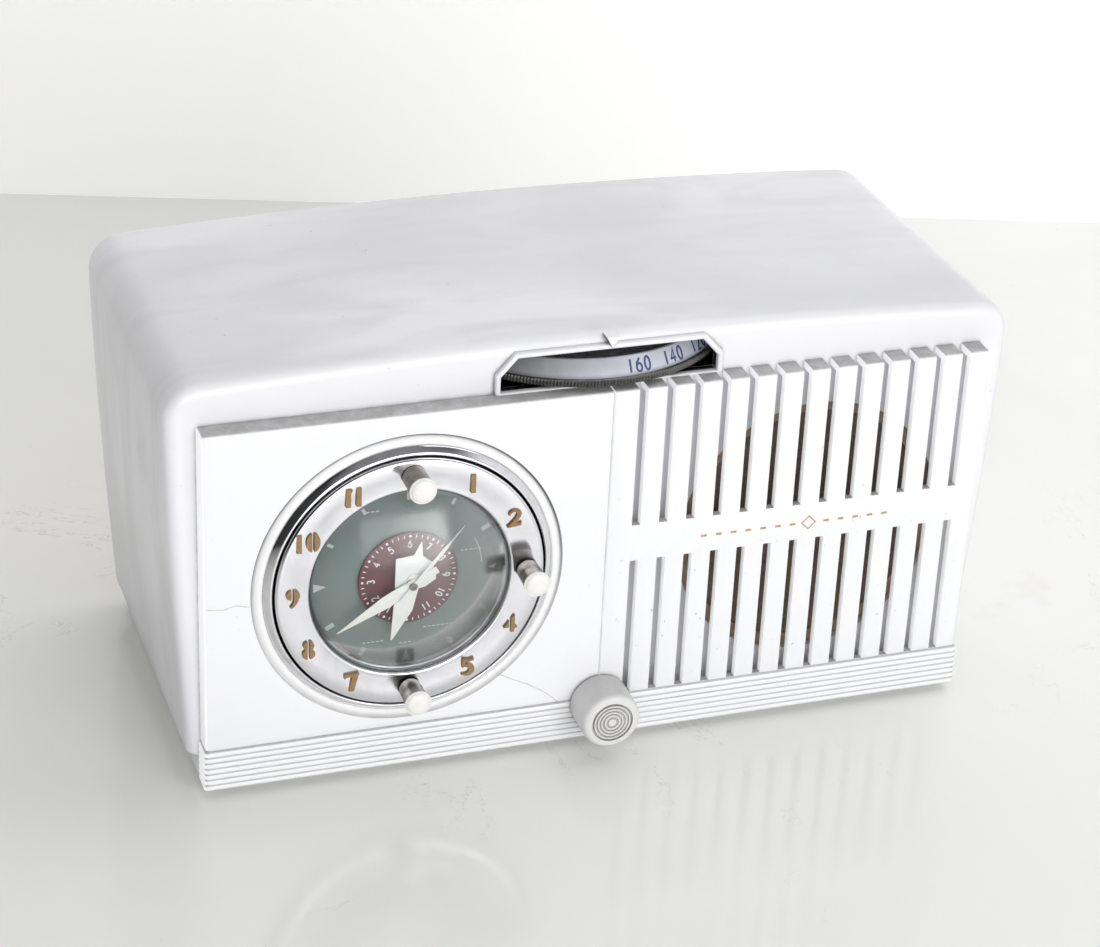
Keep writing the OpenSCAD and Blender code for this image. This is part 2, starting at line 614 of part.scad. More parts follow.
module second_hand() color(white_plastic) {
    hand(second_angle, second_hand_y, 0.25, [[-0.7, -8], [0.7, -8], [0.7, 18], [0.25, 24],
        [0.12, 30.5], [-0.12, 30.5], [-0.25, 24], [-0.7, 18]], 1.6, 0);
    bar_y(clock_x, second_hand_y, clock_z, 0.6, clock_work_y + 4 - second_hand_y);
}

module minute_arbor() color([0.78, 0.66, 0.35]) translate([clock_x, 0, clock_z]) difference() {
    union() {
        gear_y(clock_work_y + 8, cannon_m, 18, 2, work_angle, 0);
        bar_y(0, minute_hand_y - 0.2, 0, 1.5, cover_y + 10.2 - minute_hand_y);
    }
    bar_y(0, minute_hand_y - 1, 0, 0.68, rear_plate_y - 1 - minute_hand_y);
}

module time_set_knob() color([0.15, 0.12, 0.1]) difference() {
    bar_y(clock_x, cover_y + 3.5, clock_z, 6, 8);
    bar_y(clock_x, cover_y + 3, clock_z, 1.5, 7);
    for (a = [0:24:336]) translate([clock_x + 6.4 * cos(a), cover_y + 2, clock_z + 6.4 * sin(a)])
        rotate([-90, 0, 0]) cylinder(r = 0.8, h = 12);
}

module hour_wheel() color([0.78, 0.66, 0.35]) translate([clock_x, 0, clock_z]) difference() {
    union() {
        gear_y(clock_work_y + 4, hour_m, 64, 2, work_angle + 180 / 64, 0);
        bar_y(0, hour_hand_y - 0.1, 0, 2.4, clock_work_y + 6.1 - hour_hand_y);
    }
    bar_y(0, hour_hand_y - 1, 0, 1.58, 30);
}

module minute_wheel() color([0.78, 0.66, 0.35])
    translate([clock_x + work_c * cos(work_angle), 0, clock_z + work_c * sin(work_angle)]) {
        gear_y(clock_work_y + 8, cannon_m, 54, 2, work_angle + 180 + 180 / 54, 0);
        gear_y(clock_work_y + 3.8, hour_m, 16, 4.4, work_angle + 180, 0);
        bar_y(0, clock_work_y + 3.4, 0, 1, rear_plate_y + 1.8 - clock_work_y - 3.4);
    }

module alarm_disc() color([0.42, 0.26, 0.29]) difference() {
    bar_y(clock_x, disc_y, clock_z, alarm_disc_r, 1);
    bar_y(clock_x, disc_y - 1, clock_z, 3.4, 3);
}

module alarm_wheel() color([0.78, 0.66, 0.35]) translate([clock_x, 0, clock_z]) difference() {
    union() {
        gear_y(clock_work_y + 1, alarm_m, 71, 2, 90, 0);
        bar_y(0, disc_y, 0, 3.4, clock_work_y + 3 - disc_y);
    }
    bar_y(0, disc_y - 1, 0, 2.48, 30);
}

// Metal sleeve and shaft of a clock knob at [x, z] from the clock centre.
module knob_stem(p) translate([clock_x + p[0], 0, clock_z + p[1]]) {
    turned_y(0, 0, [[0, front_y - 15], [4.2, front_y - 15], [4.6, front_y - 14.4],
        [4.6, front_y - 3.8], [2, front_y - 3.8], [2, rear_plate_y + 1], [0, rear_plate_y + 1]]);
}

module knob_cap(p) turned_y(clock_x + p[0], clock_z + p[1], [[0, front_y - 17.2],
    [3.4, front_y - 17], [4.9, front_y - 16.4], [5.2, front_y - 15.6], [5.2, front_y - 15],
    [0, front_y - 15]]);

module alarm_stem() color([0.6, 0.6, 0.6]) {
    knob_stem(front_knob_points()[0]);
    translate([clock_x, 0, clock_z + knob_circle_r])
        gear_y(clock_work_y + 1, alarm_m, 20, 2, 279, 0);
}

module alarm_cap() color(white_plastic) knob_cap(front_knob_points()[0]);

module sleep_stem() color([0.6, 0.6, 0.6]) knob_stem(front_knob_points()[1]);

module sleep_cap() color(white_plastic) knob_cap(front_knob_points()[1]);

module function_stem() color([0.6, 0.6, 0.6]) knob_stem(front_knob_points()[2]);

module function_cap() color(white_plastic) knob_cap(front_knob_points()[2]);

cabinet();
foot_rails();
clock_panel();
grille_panel();
back_cover();
back_screws();
loop_antenna();
chassis();
chassis_screws();
speaker_frame();
speaker_cone();
speaker_magnet();
frame_screws();
tube_sockets();
tube_glass();
tube_plates();
if_cans();
output_core();
output_coil();
filter_can();
tuner_frame();
tuner_stator();
dial_lamp();
volume_control();
volume_nut();
clock_bezel();
numeral_ring();
hour_numerals();
clock_dial();
clock_lens();
clock_plate();
clock_rear_plate();
motor_core();
motor_coil();
rotor_can();
power_cord();
cord_grip();
plug_body();
plug_blades();
tuning_dial();
tuning_shaft();
tuner_rotor();
volume_knob();
volume_shaft();
minute_hand();
minute_arbor();
time_set_knob();
hour_hand();
hour_plate();
hour_wheel();
second_hand();
minute_wheel();
alarm_disc();
alarm_wheel();
alarm_stem();
alarm_cap();
sleep_stem();
sleep_cap();
function_stem();
function_cap();
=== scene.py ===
import math
import random

import bmesh
import bpy
from mathutils import Matrix, Vector


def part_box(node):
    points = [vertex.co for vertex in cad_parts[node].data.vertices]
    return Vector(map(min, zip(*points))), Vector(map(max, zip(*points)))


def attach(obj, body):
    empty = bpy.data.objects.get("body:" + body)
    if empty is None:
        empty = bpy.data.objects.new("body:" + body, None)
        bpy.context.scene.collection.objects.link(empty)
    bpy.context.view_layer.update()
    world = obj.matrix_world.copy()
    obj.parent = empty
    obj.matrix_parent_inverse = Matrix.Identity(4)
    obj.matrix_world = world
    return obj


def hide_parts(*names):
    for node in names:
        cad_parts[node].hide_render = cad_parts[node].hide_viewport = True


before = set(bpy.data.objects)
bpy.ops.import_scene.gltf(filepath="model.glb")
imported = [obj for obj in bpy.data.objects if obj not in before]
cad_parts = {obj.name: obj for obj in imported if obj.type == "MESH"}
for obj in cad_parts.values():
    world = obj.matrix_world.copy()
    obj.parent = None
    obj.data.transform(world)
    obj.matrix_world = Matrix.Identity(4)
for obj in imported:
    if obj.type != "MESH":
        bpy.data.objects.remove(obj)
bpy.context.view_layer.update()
MM = 0.001
ROOM_LIGHT = 0.45
LOZENGE_INNER = 2.5 / 3.2
scene = bpy.context.scene
rng = random.Random(7)


def mm_box(node):
    """Lowest and highest corners of a CAD node in millimetres."""
    low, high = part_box(node)
    return [c / MM for c in low], [c / MM for c in high]


def middle(node):
    low, high = mm_box(node)
    return [(a + b) / 2 for a, b in zip(low, high)]


# ---- driving sizes, from the CAD
CLOCK_X, _, CLOCK_Z = middle("clock_dial")
DIAL_X, DIAL_Y, _ = middle("tuning_dial")
VOLUME_X, _, VOLUME_Z = middle("volume_knob")
SPEAKER_X, _, SPEAKER_Z = middle("speaker_cone")
PANEL_LEFT = mm_box("clock_panel")[0][0]
PANEL_RIGHT = mm_box("grille_panel")[1][0]
PANEL_THICK, WALL = 9, 3
FRONT = mm_box("clock_panel")[0][1]          # face of the raised panels
FACE = FRONT + PANEL_THICK                   # face of the cabinet behind them
INNER = FACE + WALL                          # inside of the cabinet's front wall
REAR = mm_box("cabinet")[1][1]
TOP = mm_box("cabinet")[1][2]
PANEL_TOP = mm_box("clock_panel")[1][2]
PANEL_FOOT = mm_box("clock_panel")[0][2]
BODY_HALF, BASE_HALF = 168, 161          # half width at the shoulder and at the plinth
CROWN = 4.5                                  # rise of the top between its corners
CORNER_R = 14
SHOULDER, PLINTH = 158, 14               # heights between which the sides taper
FLUTE_TOP, FLUTES = 20.2, 7
SEAM = 1                                   # where the two panels meet
SHAFT_HOLE = 4.8
KNOB_CIRCLE = 45.5
GLASS_R = 39
RING_R = 52.4
STEP_R = 60.9                                # hole of the left panel, filled by the moulded step
DIAL_Y_FACE = FRONT + 2
CORNER_X = BODY_HALF - CORNER_R
SLOPE = math.atan(2 * CROWN / CORNER_X)
CORNER_Z = TOP - CROWN - CORNER_R * math.cos(SLOPE)
CROWN_X = CORNER_X + CORNER_R * math.sin(SLOPE)


# ---- shader building
class Nodes:
    """A node tree under construction, of a material or of the world."""

    def __init__(self, tree):
        self.tree = tree

    def node(self, kind, **inputs):
        made = self.tree.nodes.new(kind)
        for key, value in inputs.items():
            made.inputs[key].default_value = value
        return made

    def link(self, source, target):
        self.tree.links.new(source, target)

    def feed(self, value, socket):
        """Sets a socket to a number or a colour, or links it to an output."""
        if isinstance(value, (int, float)):
            socket.default_value = value
        elif isinstance(value, tuple):
            socket.default_value = (*value, 1)
        else:
            self.link(value, socket)

    def ramp(self, fac, low, high, start=0, end=1):
        made = self.node("ShaderNodeMapRange")
        for socket, value in zip(made.inputs, (fac, low, high, start, end)):
            self.feed(value, socket)
        return made.outputs["Result"]

    def part(self, vector, axis):
        """X, Y or Z of a vector."""
        split = self.node("ShaderNodeSeparateXYZ")
        self.link(vector, split.inputs[0])
        return split.outputs[axis]

    def mix_shaders(self, fac, a, b, out):
        """Sends a mix of two shaders to an output node."""
        mix = self.node("ShaderNodeMixShader")
        for source, socket in zip((fac, a, b), mix.inputs):
            self.link(source, socket)
        self.link(mix.outputs[0], out.inputs["Surface"])


class Shader(Nodes):
    """A node material under construction."""

    def __init__(self, name):
        self.mat = bpy.data.materials.new(name + "_finish")
        self.mat.use_nodes = True
        super().__init__(self.mat.node_tree)
        self.bsdf = self.tree.nodes["Principled BSDF"]
        self.out = self.tree.nodes["Material Output"]
        self.place = self.node("ShaderNodeTexCoord").outputs["Object"]

    def noise(self, scale, detail=4, rough=0.55, distortion=0, vector=None):
        made = self.node("ShaderNodeTexNoise", Scale=scale, Detail=detail, Roughness=rough,
                         Distortion=distortion)
        self.link(vector or self.place, made.inputs["Vector"])
        return made.outputs["Fac"]

    def cloud(self, low, high, *noise, start=0, end=1):
        """Ramp over a noise: its scale, detail, roughness and distortion."""
        return self.ramp(self.noise(*noise), low, high, start, end)

    def maths(self, kind, a, b):
        made = self.node("ShaderNodeMath")
        made.operation = kind
        self.feed(a, made.inputs[0])
        self.feed(b, made.inputs[1])
        return made.outputs[0]

    def times(self, a, b):
        return self.maths("MULTIPLY", a, b)

    def vector_maths(self, kind, a, b=(0, 0, 0), output="Vector"):
        made = self.node("ShaderNodeVectorMath")
        made.operation = kind
        self.link(a, made.inputs[0])
        made.inputs[1].default_value = b
        return made.outputs[output]

    def blend(self, fac, a, b):
        made = self.node("ShaderNodeMix")
        made.data_type = "RGBA"
        for value, socket in ((fac, 0), (a, 6), (b, 7)):
            self.feed(value, made.inputs[socket])
        return made.outputs[2]

    def stain(self, base, colour, where, amount):
        """base, taken towards colour by where times amount."""
        return self.blend(self.times(where, amount), base, colour)

    def facing(self, axis, low, high, start=1, end=0):
        """Ramp on one part of the direction that the surface faces."""
        normal = self.node("ShaderNodeNewGeometry").outputs["Normal"]
        return self.ramp(self.part(normal, axis), low, high, start, end)

    def along(self, axis, low, high, start=0, end=1):
        """Ramp between two places on the object, in metres along X, Y or Z."""
        return self.ramp(self.part(self.place, axis), low, high, start, end)

    def round_line(self, radius, half):
        """One on a circle round the clock's axis, falling to nothing half a width either side."""
        offset = self.vector_maths("SUBTRACT", self.place, (CLOCK_X * MM, 0, CLOCK_Z * MM))
        flat = self.vector_maths("MULTIPLY", offset, (1, 0, 1))
        length = self.vector_maths("LENGTH", flat, output="Value")
        away = self.maths("ABSOLUTE", self.maths("SUBTRACT", length, radius * MM), 0)
        return self.ramp(away, 0, half * MM, 1, 0)

    def crevice(self, distance):
        # Painted shade: ambient occlusion gives one in corners and recesses and nothing on open
        # faces.
        made = self.node("ShaderNodeAmbientOcclusion", Distance=distance)
        made.samples = 6
        return self.ramp(made.outputs["AO"], 0.35, 0.9, 1, 0)

    def bump(self, height, strength, distance):
        made = self.node("ShaderNodeBump", Strength=strength, Distance=distance)
        self.link(height, made.inputs["Height"])
        self.link(made.outputs["Normal"], self.bsdf.inputs["Normal"])

    def finish(self, colour, rough, metallic=0, coat=0, specular=0.5):
        for key, value in (("Base Color", colour), ("Roughness", rough), ("Metallic", metallic),
                           ("Coat Weight", coat), ("Coat Roughness", 0.12),
                           ("Specular IOR Level", specular)):
            self.feed(value, self.bsdf.inputs[key])
        return self.mat


def tone(colour, gain):
    return tuple(min(1, c * gain) for c in colour)


FACING_LEFT = ("X", -0.75, -0.35)


def worn_plastic(name, colour, smudge, dust, dirt_and_shade, rough, shaded_left=0, reach=0.0018,
                 groove=0, glow_left=0):
    """Old moulded plastic: soft smudges, fine specks, settled dust, soiling with painted shade in
    the corners, and painted light on faces turned to the front.

    reach is how far the soiling and painted shade creep out of a corner, in metres, and groove the
    radius of a dark line round the clock. What faces left is darkened by shaded_left or lit by
    glow_left.
    """
    s = Shader(name)
    front = s.facing("Y", -0.85, -0.4)
    smudge_now = s.ramp(front, 0, 1, smudge, smudge * 0.2)
    # Painted light: faces turned to the front are painted five per cent lighter.
    lit_paint = s.blend(front, colour, tone(colour, 1.05))
    cloud = s.cloud(0.36, 0.66, 6, 2, 0.45, 0.5)
    paint = s.stain(lit_paint, tone(colour, 0.74), cloud, smudge_now)
    wipes = s.node("ShaderNodeMapping", Rotation=(0, 0, 0.9), Scale=(1, 3.2, 1))
    s.link(s.place, wipes.inputs["Vector"])
    streak = s.ramp(s.noise(11, 3, 0.5, 0.9, wipes.outputs["Vector"]), 0.42, 0.72)
    paint = s.stain(paint, tone(colour, 0.8), streak, smudge_now)
    speck = s.times(s.cloud(0.76, 0.82, 430, 1, 0.4),
                    s.cloud(0.42, 0.6, 9, 2, 0.5))
    paint = s.stain(paint, (0.25, 0.23, 0.21), speck, 0.5)
    if groove:
        line = s.times(s.round_line(groove, 1), s.along("Z", 0.06, 0.12, 0.3, 1.3))
        paint = s.blend(line, paint, (0.1, 0.1, 0.1))
    settled = s.times(s.facing("Z", 0.55, 0.95, 0, 1),
                      s.cloud(0.25, 0.6, 150, 5, 0.7, start=0.6, end=1))
    paint = s.stain(paint, (0.3, 0.295, 0.29), settled, dust)
    # Soiling with painted shade: corners and recesses, found by ambient occlusion and broken up by
    # noise, go dark brown.
    grime_and_shade = s.times(s.crevice(reach), s.cloud(0.3, 0.65, 160, 4, 0.6, start=0.5, end=1))
    paint = s.stain(paint, (0.15, 0.135, 0.115), grime_and_shade, dirt_and_shade)
    if shaded_left:
        paint = s.stain(paint, (0.08, 0.075, 0.07), s.facing(*FACING_LEFT),
                             shaded_left)
    if glow_left:
        s.feed((1, 1, 1), s.bsdf.inputs["Emission Color"])
        s.link(s.times(s.facing(*FACING_LEFT), glow_left), s.bsdf.inputs["Emission Strength"])
    shine = s.cloud(0.3, 0.7, 34, 5, 0.65, start=rough, end=rough + 0.14)
    s.bump(s.noise(300, 2, 0.5), 0.03, 0.0002)
    return s.finish(paint, s.maths("ADD", shine, s.times(settled, dust * 0.6)), 0, 0.25)


def surface(name, colour, rough, metallic, grain, spread, relief, dirt_and_shade, coat=0):
    """Plain finish with mottled colour, uneven sheen, fine relief and painted shade darkening the
    corners.
    """
    s = Shader(name)
    mottle = s.cloud(0.3, 0.7, grain, 5, 0.6)
    paint = s.blend(mottle, tone(colour, 1 - spread), tone(colour, 1 + spread))
    # Painted shade: corners and recesses darkened towards a fifth of the colour.
    if dirt_and_shade:
        paint = s.stain(paint, tone(colour, 0.2), s.crevice(0.0025), dirt_and_shade)
    shine = s.ramp(s.noise(grain * 0.35, 4, 0.6), 0.3, 0.7, max(0.02, rough - 0.07), rough + 0.08)
    if relief:
        s.bump(s.noise(grain * 4, 3, 0.5), relief, 0.0002)
    return s.finish(paint, shine, metallic, coat)


def printed_band():
    """Silvered band of the tuning wheel, with painted shade: darker towards one end and along its
    lower edge.
    """
    s = Shader("dial_band")
    mottle = s.cloud(0.3, 0.7, 90, 5, 0.6)
    lit_paint = s.blend(mottle, (0.54, 0.565, 0.64), (0.62, 0.645, 0.72))
    shaded_paint = s.blend(mottle, (0.2, 0.2, 0.2), (0.27, 0.27, 0.265))
    # Painted shade of the window's dark inside, growing towards the left end of the band.
    paint = s.blend(s.along("X", -0.04, 0.012), shaded_paint, lit_paint)
    # Painted shade along the lower edge, next to the knurled rim.
    paint = s.stain(paint, (0.1, 0.1, 0.1), s.along("Z", 0.1588, 0.1602, 1, 0),
                         0.7)
    return s.finish(paint, s.cloud(0.3, 0.7, 60, 4, 0.6, start=0.34, end=0.5), 0.1)


def ring_metal():
    """Satin ring: soft clouding, smears and tiny pits."""
    s = Shader("ring_satin")
    cloud = s.cloud(0.42, 0.72, 45, 6, 0.65, 1.5)
    paint = s.stain((0.8, 0.8, 0.825), (0.6, 0.59, 0.63), cloud, 0.4)
    pits = s.times(s.cloud(0.7, 0.75, 1500, 2, 0.5),
                   s.cloud(0.48, 0.6, 130, 3, 0.5))
    paint = s.stain(paint, (0.2, 0.18, 0.17), pits, 0.8)
    s.bump(s.noise(900, 3, 0.6), 0.06, 0.0002)
    return s.finish(paint, s.ramp(cloud, 0, 1, 0.15, 0.25), 1)


def clear_glass(name, tint, gloss, film=0.02, reflection_span=None):
    """Thin clear wall: lets the inside show and still mirrors the room.

    film is how hazy the glass is with uneven soiling; reflection_span gives two places in X, in
    millimetres, between which the mirroring grows, a painted reflection.
    """
    s = Shader(name)
    clear = s.node("ShaderNodeBsdfTransparent", Color=(*tint, 1))
    mirror = s.node("ShaderNodeBsdfGlossy")
    s.link(s.cloud(0.3, 0.7, 90, 3, 0.5, start=0.14, end=0.22), mirror.inputs["Roughness"])
    edge = s.node("ShaderNodeLayerWeight", Blend=0.2).outputs["Fresnel"]
    haze_and_reflection = s.maths("ADD", s.ramp(edge, 0, 1, gloss, 0.7),
                   s.cloud(0.5, 0.8, 60, 4, 0.6, start=0, end=film))
    # Painted reflection: the mirroring grows towards the right of the glass.
    if reflection_span:
        haze_and_reflection = s.maths("ADD", haze_and_reflection, s.along("X", reflection_span[0] * MM, reflection_span[1] * MM, 0, 0.16))
    s.mix_shaders(haze_and_reflection, clear.outputs[0], mirror.outputs[0], s.out)
    return s.mat


def fibreboard():
    s = Shader("fibreboard")
    fibres = s.noise(320, 6, 0.75, 3)
    paint = s.blend(s.ramp(fibres, 0.3, 0.7), (0.1, 0.055, 0.03), (0.24, 0.14, 0.08))
    paint = s.stain(paint, (0.3, 0.25, 0.2), s.cloud(0.5, 0.75, 14, 4, 0.6),
                         0.4)
    s.bump(fibres, 0.5, 0.0006)
    return s.finish(paint, s.ramp(fibres, 0.2, 0.8, 0.7, 0.95), 0, 0, 0.3)


def paper_cone():
    s = Shader("cone_paper")
    fibres = s.noise(500, 6, 0.7, 2)
    paint = s.blend(s.ramp(fibres, 0.3, 0.7), (0.15, 0.125, 0.1), (0.27, 0.23, 0.19))
    s.bump(fibres, 0.6, 0.0005)
    return s.finish(paint, 0.9, 0, 0, 0.2)


def basket_paint():
    """Dull black steel with a tan paper gasket round its front rim."""
    s = Shader("basket")
    mottle = s.cloud(0.3, 0.7, 300, 5, 0.6)
    steel = s.blend(mottle, (0.07, 0.07, 0.075), (0.12, 0.12, 0.125))
    gasket = s.blend(mottle, (0.34, 0.25, 0.17), (0.46, 0.36, 0.26))
    rim = s.along("Y", (INNER + 1.2) * MM, (INNER + 1.4) * MM, 1, 0)
    s.bump(s.noise(900, 3, 0.5), 0.2, 0.0002)
    return s.finish(s.blend(rim, steel, gasket), 0.6, 0, 0, 0.3)


def laminations():
    s = Shader("lamination")
    wave = s.node("ShaderNodeTexWave", Scale=700, Distortion=0.6)
    wave.bands_direction = "Y"
    s.link(s.place, wave.inputs["Vector"])
    sheets = wave.outputs["Fac"]
    paint = s.blend(s.ramp(sheets, 0.2, 0.8), (0.09, 0.09, 0.1), (0.26, 0.25, 0.25))
    s.bump(sheets, 0.4, 0.0003)
    return s.finish(paint, 0.5, 0.8)


def floor_finish():
    """Pale worn table top with faint stains and hairline marks, polished enough to mirror, and with
    painted light: lighter towards the right.
    """
    s = Shader("floor")
    # Painted light: the floor grows lighter towards the right.
    base = s.blend(s.along("X", -0.75, 0.35), (0.81, 0.805, 0.77), (0.94, 0.94, 0.925))
    cloud = s.cloud(0.35, 0.7, 2.4, 5, 0.6, 0.8)
    paint = s.stain(base, (0.8, 0.8, 0.77), cloud, 0.4)
    line = s.maths("ABSOLUTE", s.maths("SUBTRACT", s.noise(3.4, 7, 0.7, 1.6), 0.5), 0)
    hair = s.times(s.ramp(line, 0, 0.003, 1, 0), s.cloud(0.54, 0.6, 5, 3, 0.5))
    rust = s.cloud(0.66, 0.8, 7, 4, 0.7, 0.5)
    grit = s.cloud(0.74, 0.78, 260, 3, 0.6)
    for where, amount, colour in ((hair, 0.4, (0.5, 0.47, 0.42)), (rust, 0.3, (0.62, 0.5, 0.38)),
                                  (grit, 0.3, (0.45, 0.42, 0.38))):
        paint = s.stain(paint, colour, where, amount)
    s.bump(s.noise(90, 4, 0.6), 0.03, 0.0004)
    return s.finish(paint, s.cloud(0.35, 0.7, 12, 5, 0.7, start=0.07, end=0.2), 0, 0, 0.55)


def wall_finish():
    """Pale backdrop with painted light: it glows, more towards the right, so that it stays light;
    seen from behind it is clear.
    """
    s = Shader("wall")
    cloud = s.cloud(0.35, 0.7, 1.6, 4, 0.5)
    # Painted light: the backdrop glows, more strongly towards the right.
    s.feed((1, 1, 0.99), s.bsdf.inputs["Emission Color"])
    s.link(s.along("X", -0.55, 0.15, 0.16, 0.37), s.bsdf.inputs["Emission Strength"])
    s.finish(s.blend(cloud, (0.86, 0.86, 0.85), (0.83, 0.83, 0.815)), 0.8, 0, 0, 0.2)
    behind = s.node("ShaderNodeNewGeometry").outputs["Backfacing"]
    clear = s.node("ShaderNodeBsdfTransparent").outputs[0]
    s.mix_shaders(behind, s.bsdf.outputs["BSDF"], clear, s.out)
    return s.mat


# ---- mesh building
def raw_object(name, verts, faces):
    mesh = bpy.data.meshes.new(name)
    mesh.from_pydata([tuple(c * MM for c in v) for v in verts], [], faces)
    build = bmesh.new()
    build.from_mesh(mesh)
    bmesh.ops.remove_doubles(build, verts=build.verts, dist=1e-7)
    bmesh.ops.recalc_face_normals(build, faces=build.faces)
    build.to_mesh(mesh)
    build.free()
    obj = bpy.data.objects.new(name, mesh)
    scene.collection.objects.link(obj)
    return obj


def bake(obj):
    """Applies every modifier of obj."""
    bpy.context.view_layer.update()
    made = bpy.data.meshes.new_from_object(obj.evaluated_get(bpy.context.evaluated_depsgraph_get()))
    obj.modifiers.clear()
    old = obj.data
    obj.data = made
    bpy.data.meshes.remove(old)
    return obj


def combine(obj, others, operation):
    """Joins to, or cuts from, obj each of the others, which are used up."""
    for other in others:
        mod = obj.modifiers.new("combine", "BOOLEAN")
        mod.operation = operation
        mod.solver = "EXACT"
        mod.object = other
        bake(obj)
        bpy.data.objects.remove(other)
    return obj


def soften(obj, width, segments=2, angle=38):
    mod = obj.modifiers.new("soften", "BEVEL")
    mod.width = width * MM
    mod.segments = segments
    mod.limit_method = "ANGLE"
    mod.angle_limit = math.radians(angle)
    mod.use_clamp_overlap = True
    return bake(obj)


def piece(obj, body, material, stands_for=None, sharp=32):
    """Gives a finished object its body and material, and the CAD node it stands for."""
    obj.data.materials.clear()
    obj.data.materials.append(material)
    for polygon in obj.data.polygons:
        polygon.use_smooth = True
    obj.data.set_sharp_from_angle(angle=math.radians(sharp))
    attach(obj, body)
    if stands_for:
        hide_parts(stands_for)
    return obj


BOX_FACES = ((0, 1, 3, 2), (4, 6, 7, 5), (0, 4, 5, 1), (2, 3, 7, 6), (0, 2, 6, 4), (1, 5, 7, 3))


def boxes_obj(name, boxes):
    """Separate boxes, each given by two opposite corners, in one mesh."""
    verts, faces = [], []
    for (x0, y0, z0), (x1, y1, z1) in boxes:
        n = len(verts)
        verts += [(x, y, z) for x in (x0, x1) for y in (y0, y1) for z in (z0, z1)]
        faces += shifted(BOX_FACES, n)
    return raw_object(name, verts, faces)


def box_obj(name, low, high):
    return boxes_obj(name, [(low, high)])


def shifted(faces, start):
    """Faces whose points are counted from start on."""
    return [tuple(start + i for i in face) for face in faces]


def ring_faces(count, rings, closed):
    """Quads between successive rings of count points each."""
    faces = []
    last = rings if closed else rings - 1
    for i in range(last):
        a, b = i * count, (i + 1) % rings * count
        for k in range(count):
            m = (k + 1) % count
            faces.append((a + k, a + m, b + m, b + k))
    return faces


def loft(name, rings, closed=False):
    """Skin through closed rings of equal length; open lofts get end caps."""
    count = len(rings[0])
    faces = ring_faces(count, len(rings), closed)
    if not closed:
        faces.append(tuple(range(count)))
        faces.append(tuple((len(rings) - 1) * count + k for k in range(count)))
    return raw_object(name, [p for ring in rings for p in ring], faces)


def revolve(name, profile, place, segments=96):
    """Closed profile [(radius, height)] turned about an axis; place maps (r, h, a) to a point."""
    verts, index = [], []
    for r, h in profile:
        start = len(verts)
        if r < 1e-6:
            verts.append(place(0, h, 0))
            index.append([start] * segments)
        else:
            verts += [place(r, h, 2 * math.pi * k / segments) for k in range(segments)]
            index.append([start + k for k in range(segments)])
    faces = []
    for i, here in enumerate(index):
        there = index[(i + 1) % len(index)]
        for k in range(segments):
            m = (k + 1) % segments
            corner = []
            for v in (here[k], here[m], there[m], there[k]):
                if v not in corner:
                    corner.append(v)
            if len(corner) > 2:
                faces.append(tuple(corner))
    return raw_object(name, verts, faces)


def about_y(x, z, base=0):
    return lambda r, y, a: (x + r * math.sin(a), base + y, z + r * math.cos(a))


def about_z(x, y):
    return lambda r, z, a: (x + r * math.sin(a), y - r * math.cos(a), z)


def turned_y(name, x, z, base, profile, segments=96):
    """Solid of revolution facing the viewer; the profile's heights are counted from base."""
    return revolve(name, profile, about_y(x, z, base), segments)


def turned_on_clock(name, base, profile, segments):
    return turned_y(name, CLOCK_X, CLOCK_Z, base, profile, segments)


def drill_y(x, z, radius, y0, y1, segments=96):
    return turned_y("cutter", x, z, 0, [(0, y0), (radius, y0), (radius, y1), (0, y1)], segments)


def quarter_turn(steps):
    """(sine, cosine) at even steps over a quarter turn, both ends included."""
    angles = [math.pi / 2 * k / steps for k in range(steps + 1)]
    return [(math.sin(a), math.cos(a)) for a in angles]


def plate(u0, v0, u1, v1):
    """Outline of a rectangle."""
    return [(u0, v0), (u1, v0), (u1, v1), (u0, v1)]


def prism(name, outlines, y0, y1):
    """Flat plates: each outline [(x, z)] between y0 and y1, all in one mesh."""
    verts, faces = [], []
    for outline in outlines:
        n, start = len(outline), len(verts)
        verts += [(x, y0, z) for x, z in outline] + [(x, y1, z) for x, z in outline]
        faces.append(tuple(start + k for k in range(n)))
        faces.append(tuple(start + n + k for k in reversed(range(n))))
        for k in range(n):
            m = (k + 1) % n
            faces.append((start + k, start + m, start + n + m, start + n + k))
    return raw_object(name, verts, faces)


def clockwise(u, v, degrees):
    a = math.radians(degrees)
    return u * math.cos(a) + v * math.sin(a), -u * math.sin(a) + v * math.cos(a)


def on_clock(outline, degrees=0):
    turned = [clockwise(u, v, degrees) for u, v in outline]
    return [(CLOCK_X + u, CLOCK_Z + v) for u, v in turned]


def arc_points(x, z, rx, rz, start, end, steps):
    return [(x + rx * math.cos(math.radians(start + (end - start) * k / steps)),
             z + rz * math.sin(math.radians(start + (end - start) * k / steps)))
            for k in range(steps + 1)]


def loop_points(x, z, rx, rz):
    return arc_points(x, z, rx, rz, 0, 342, 19)


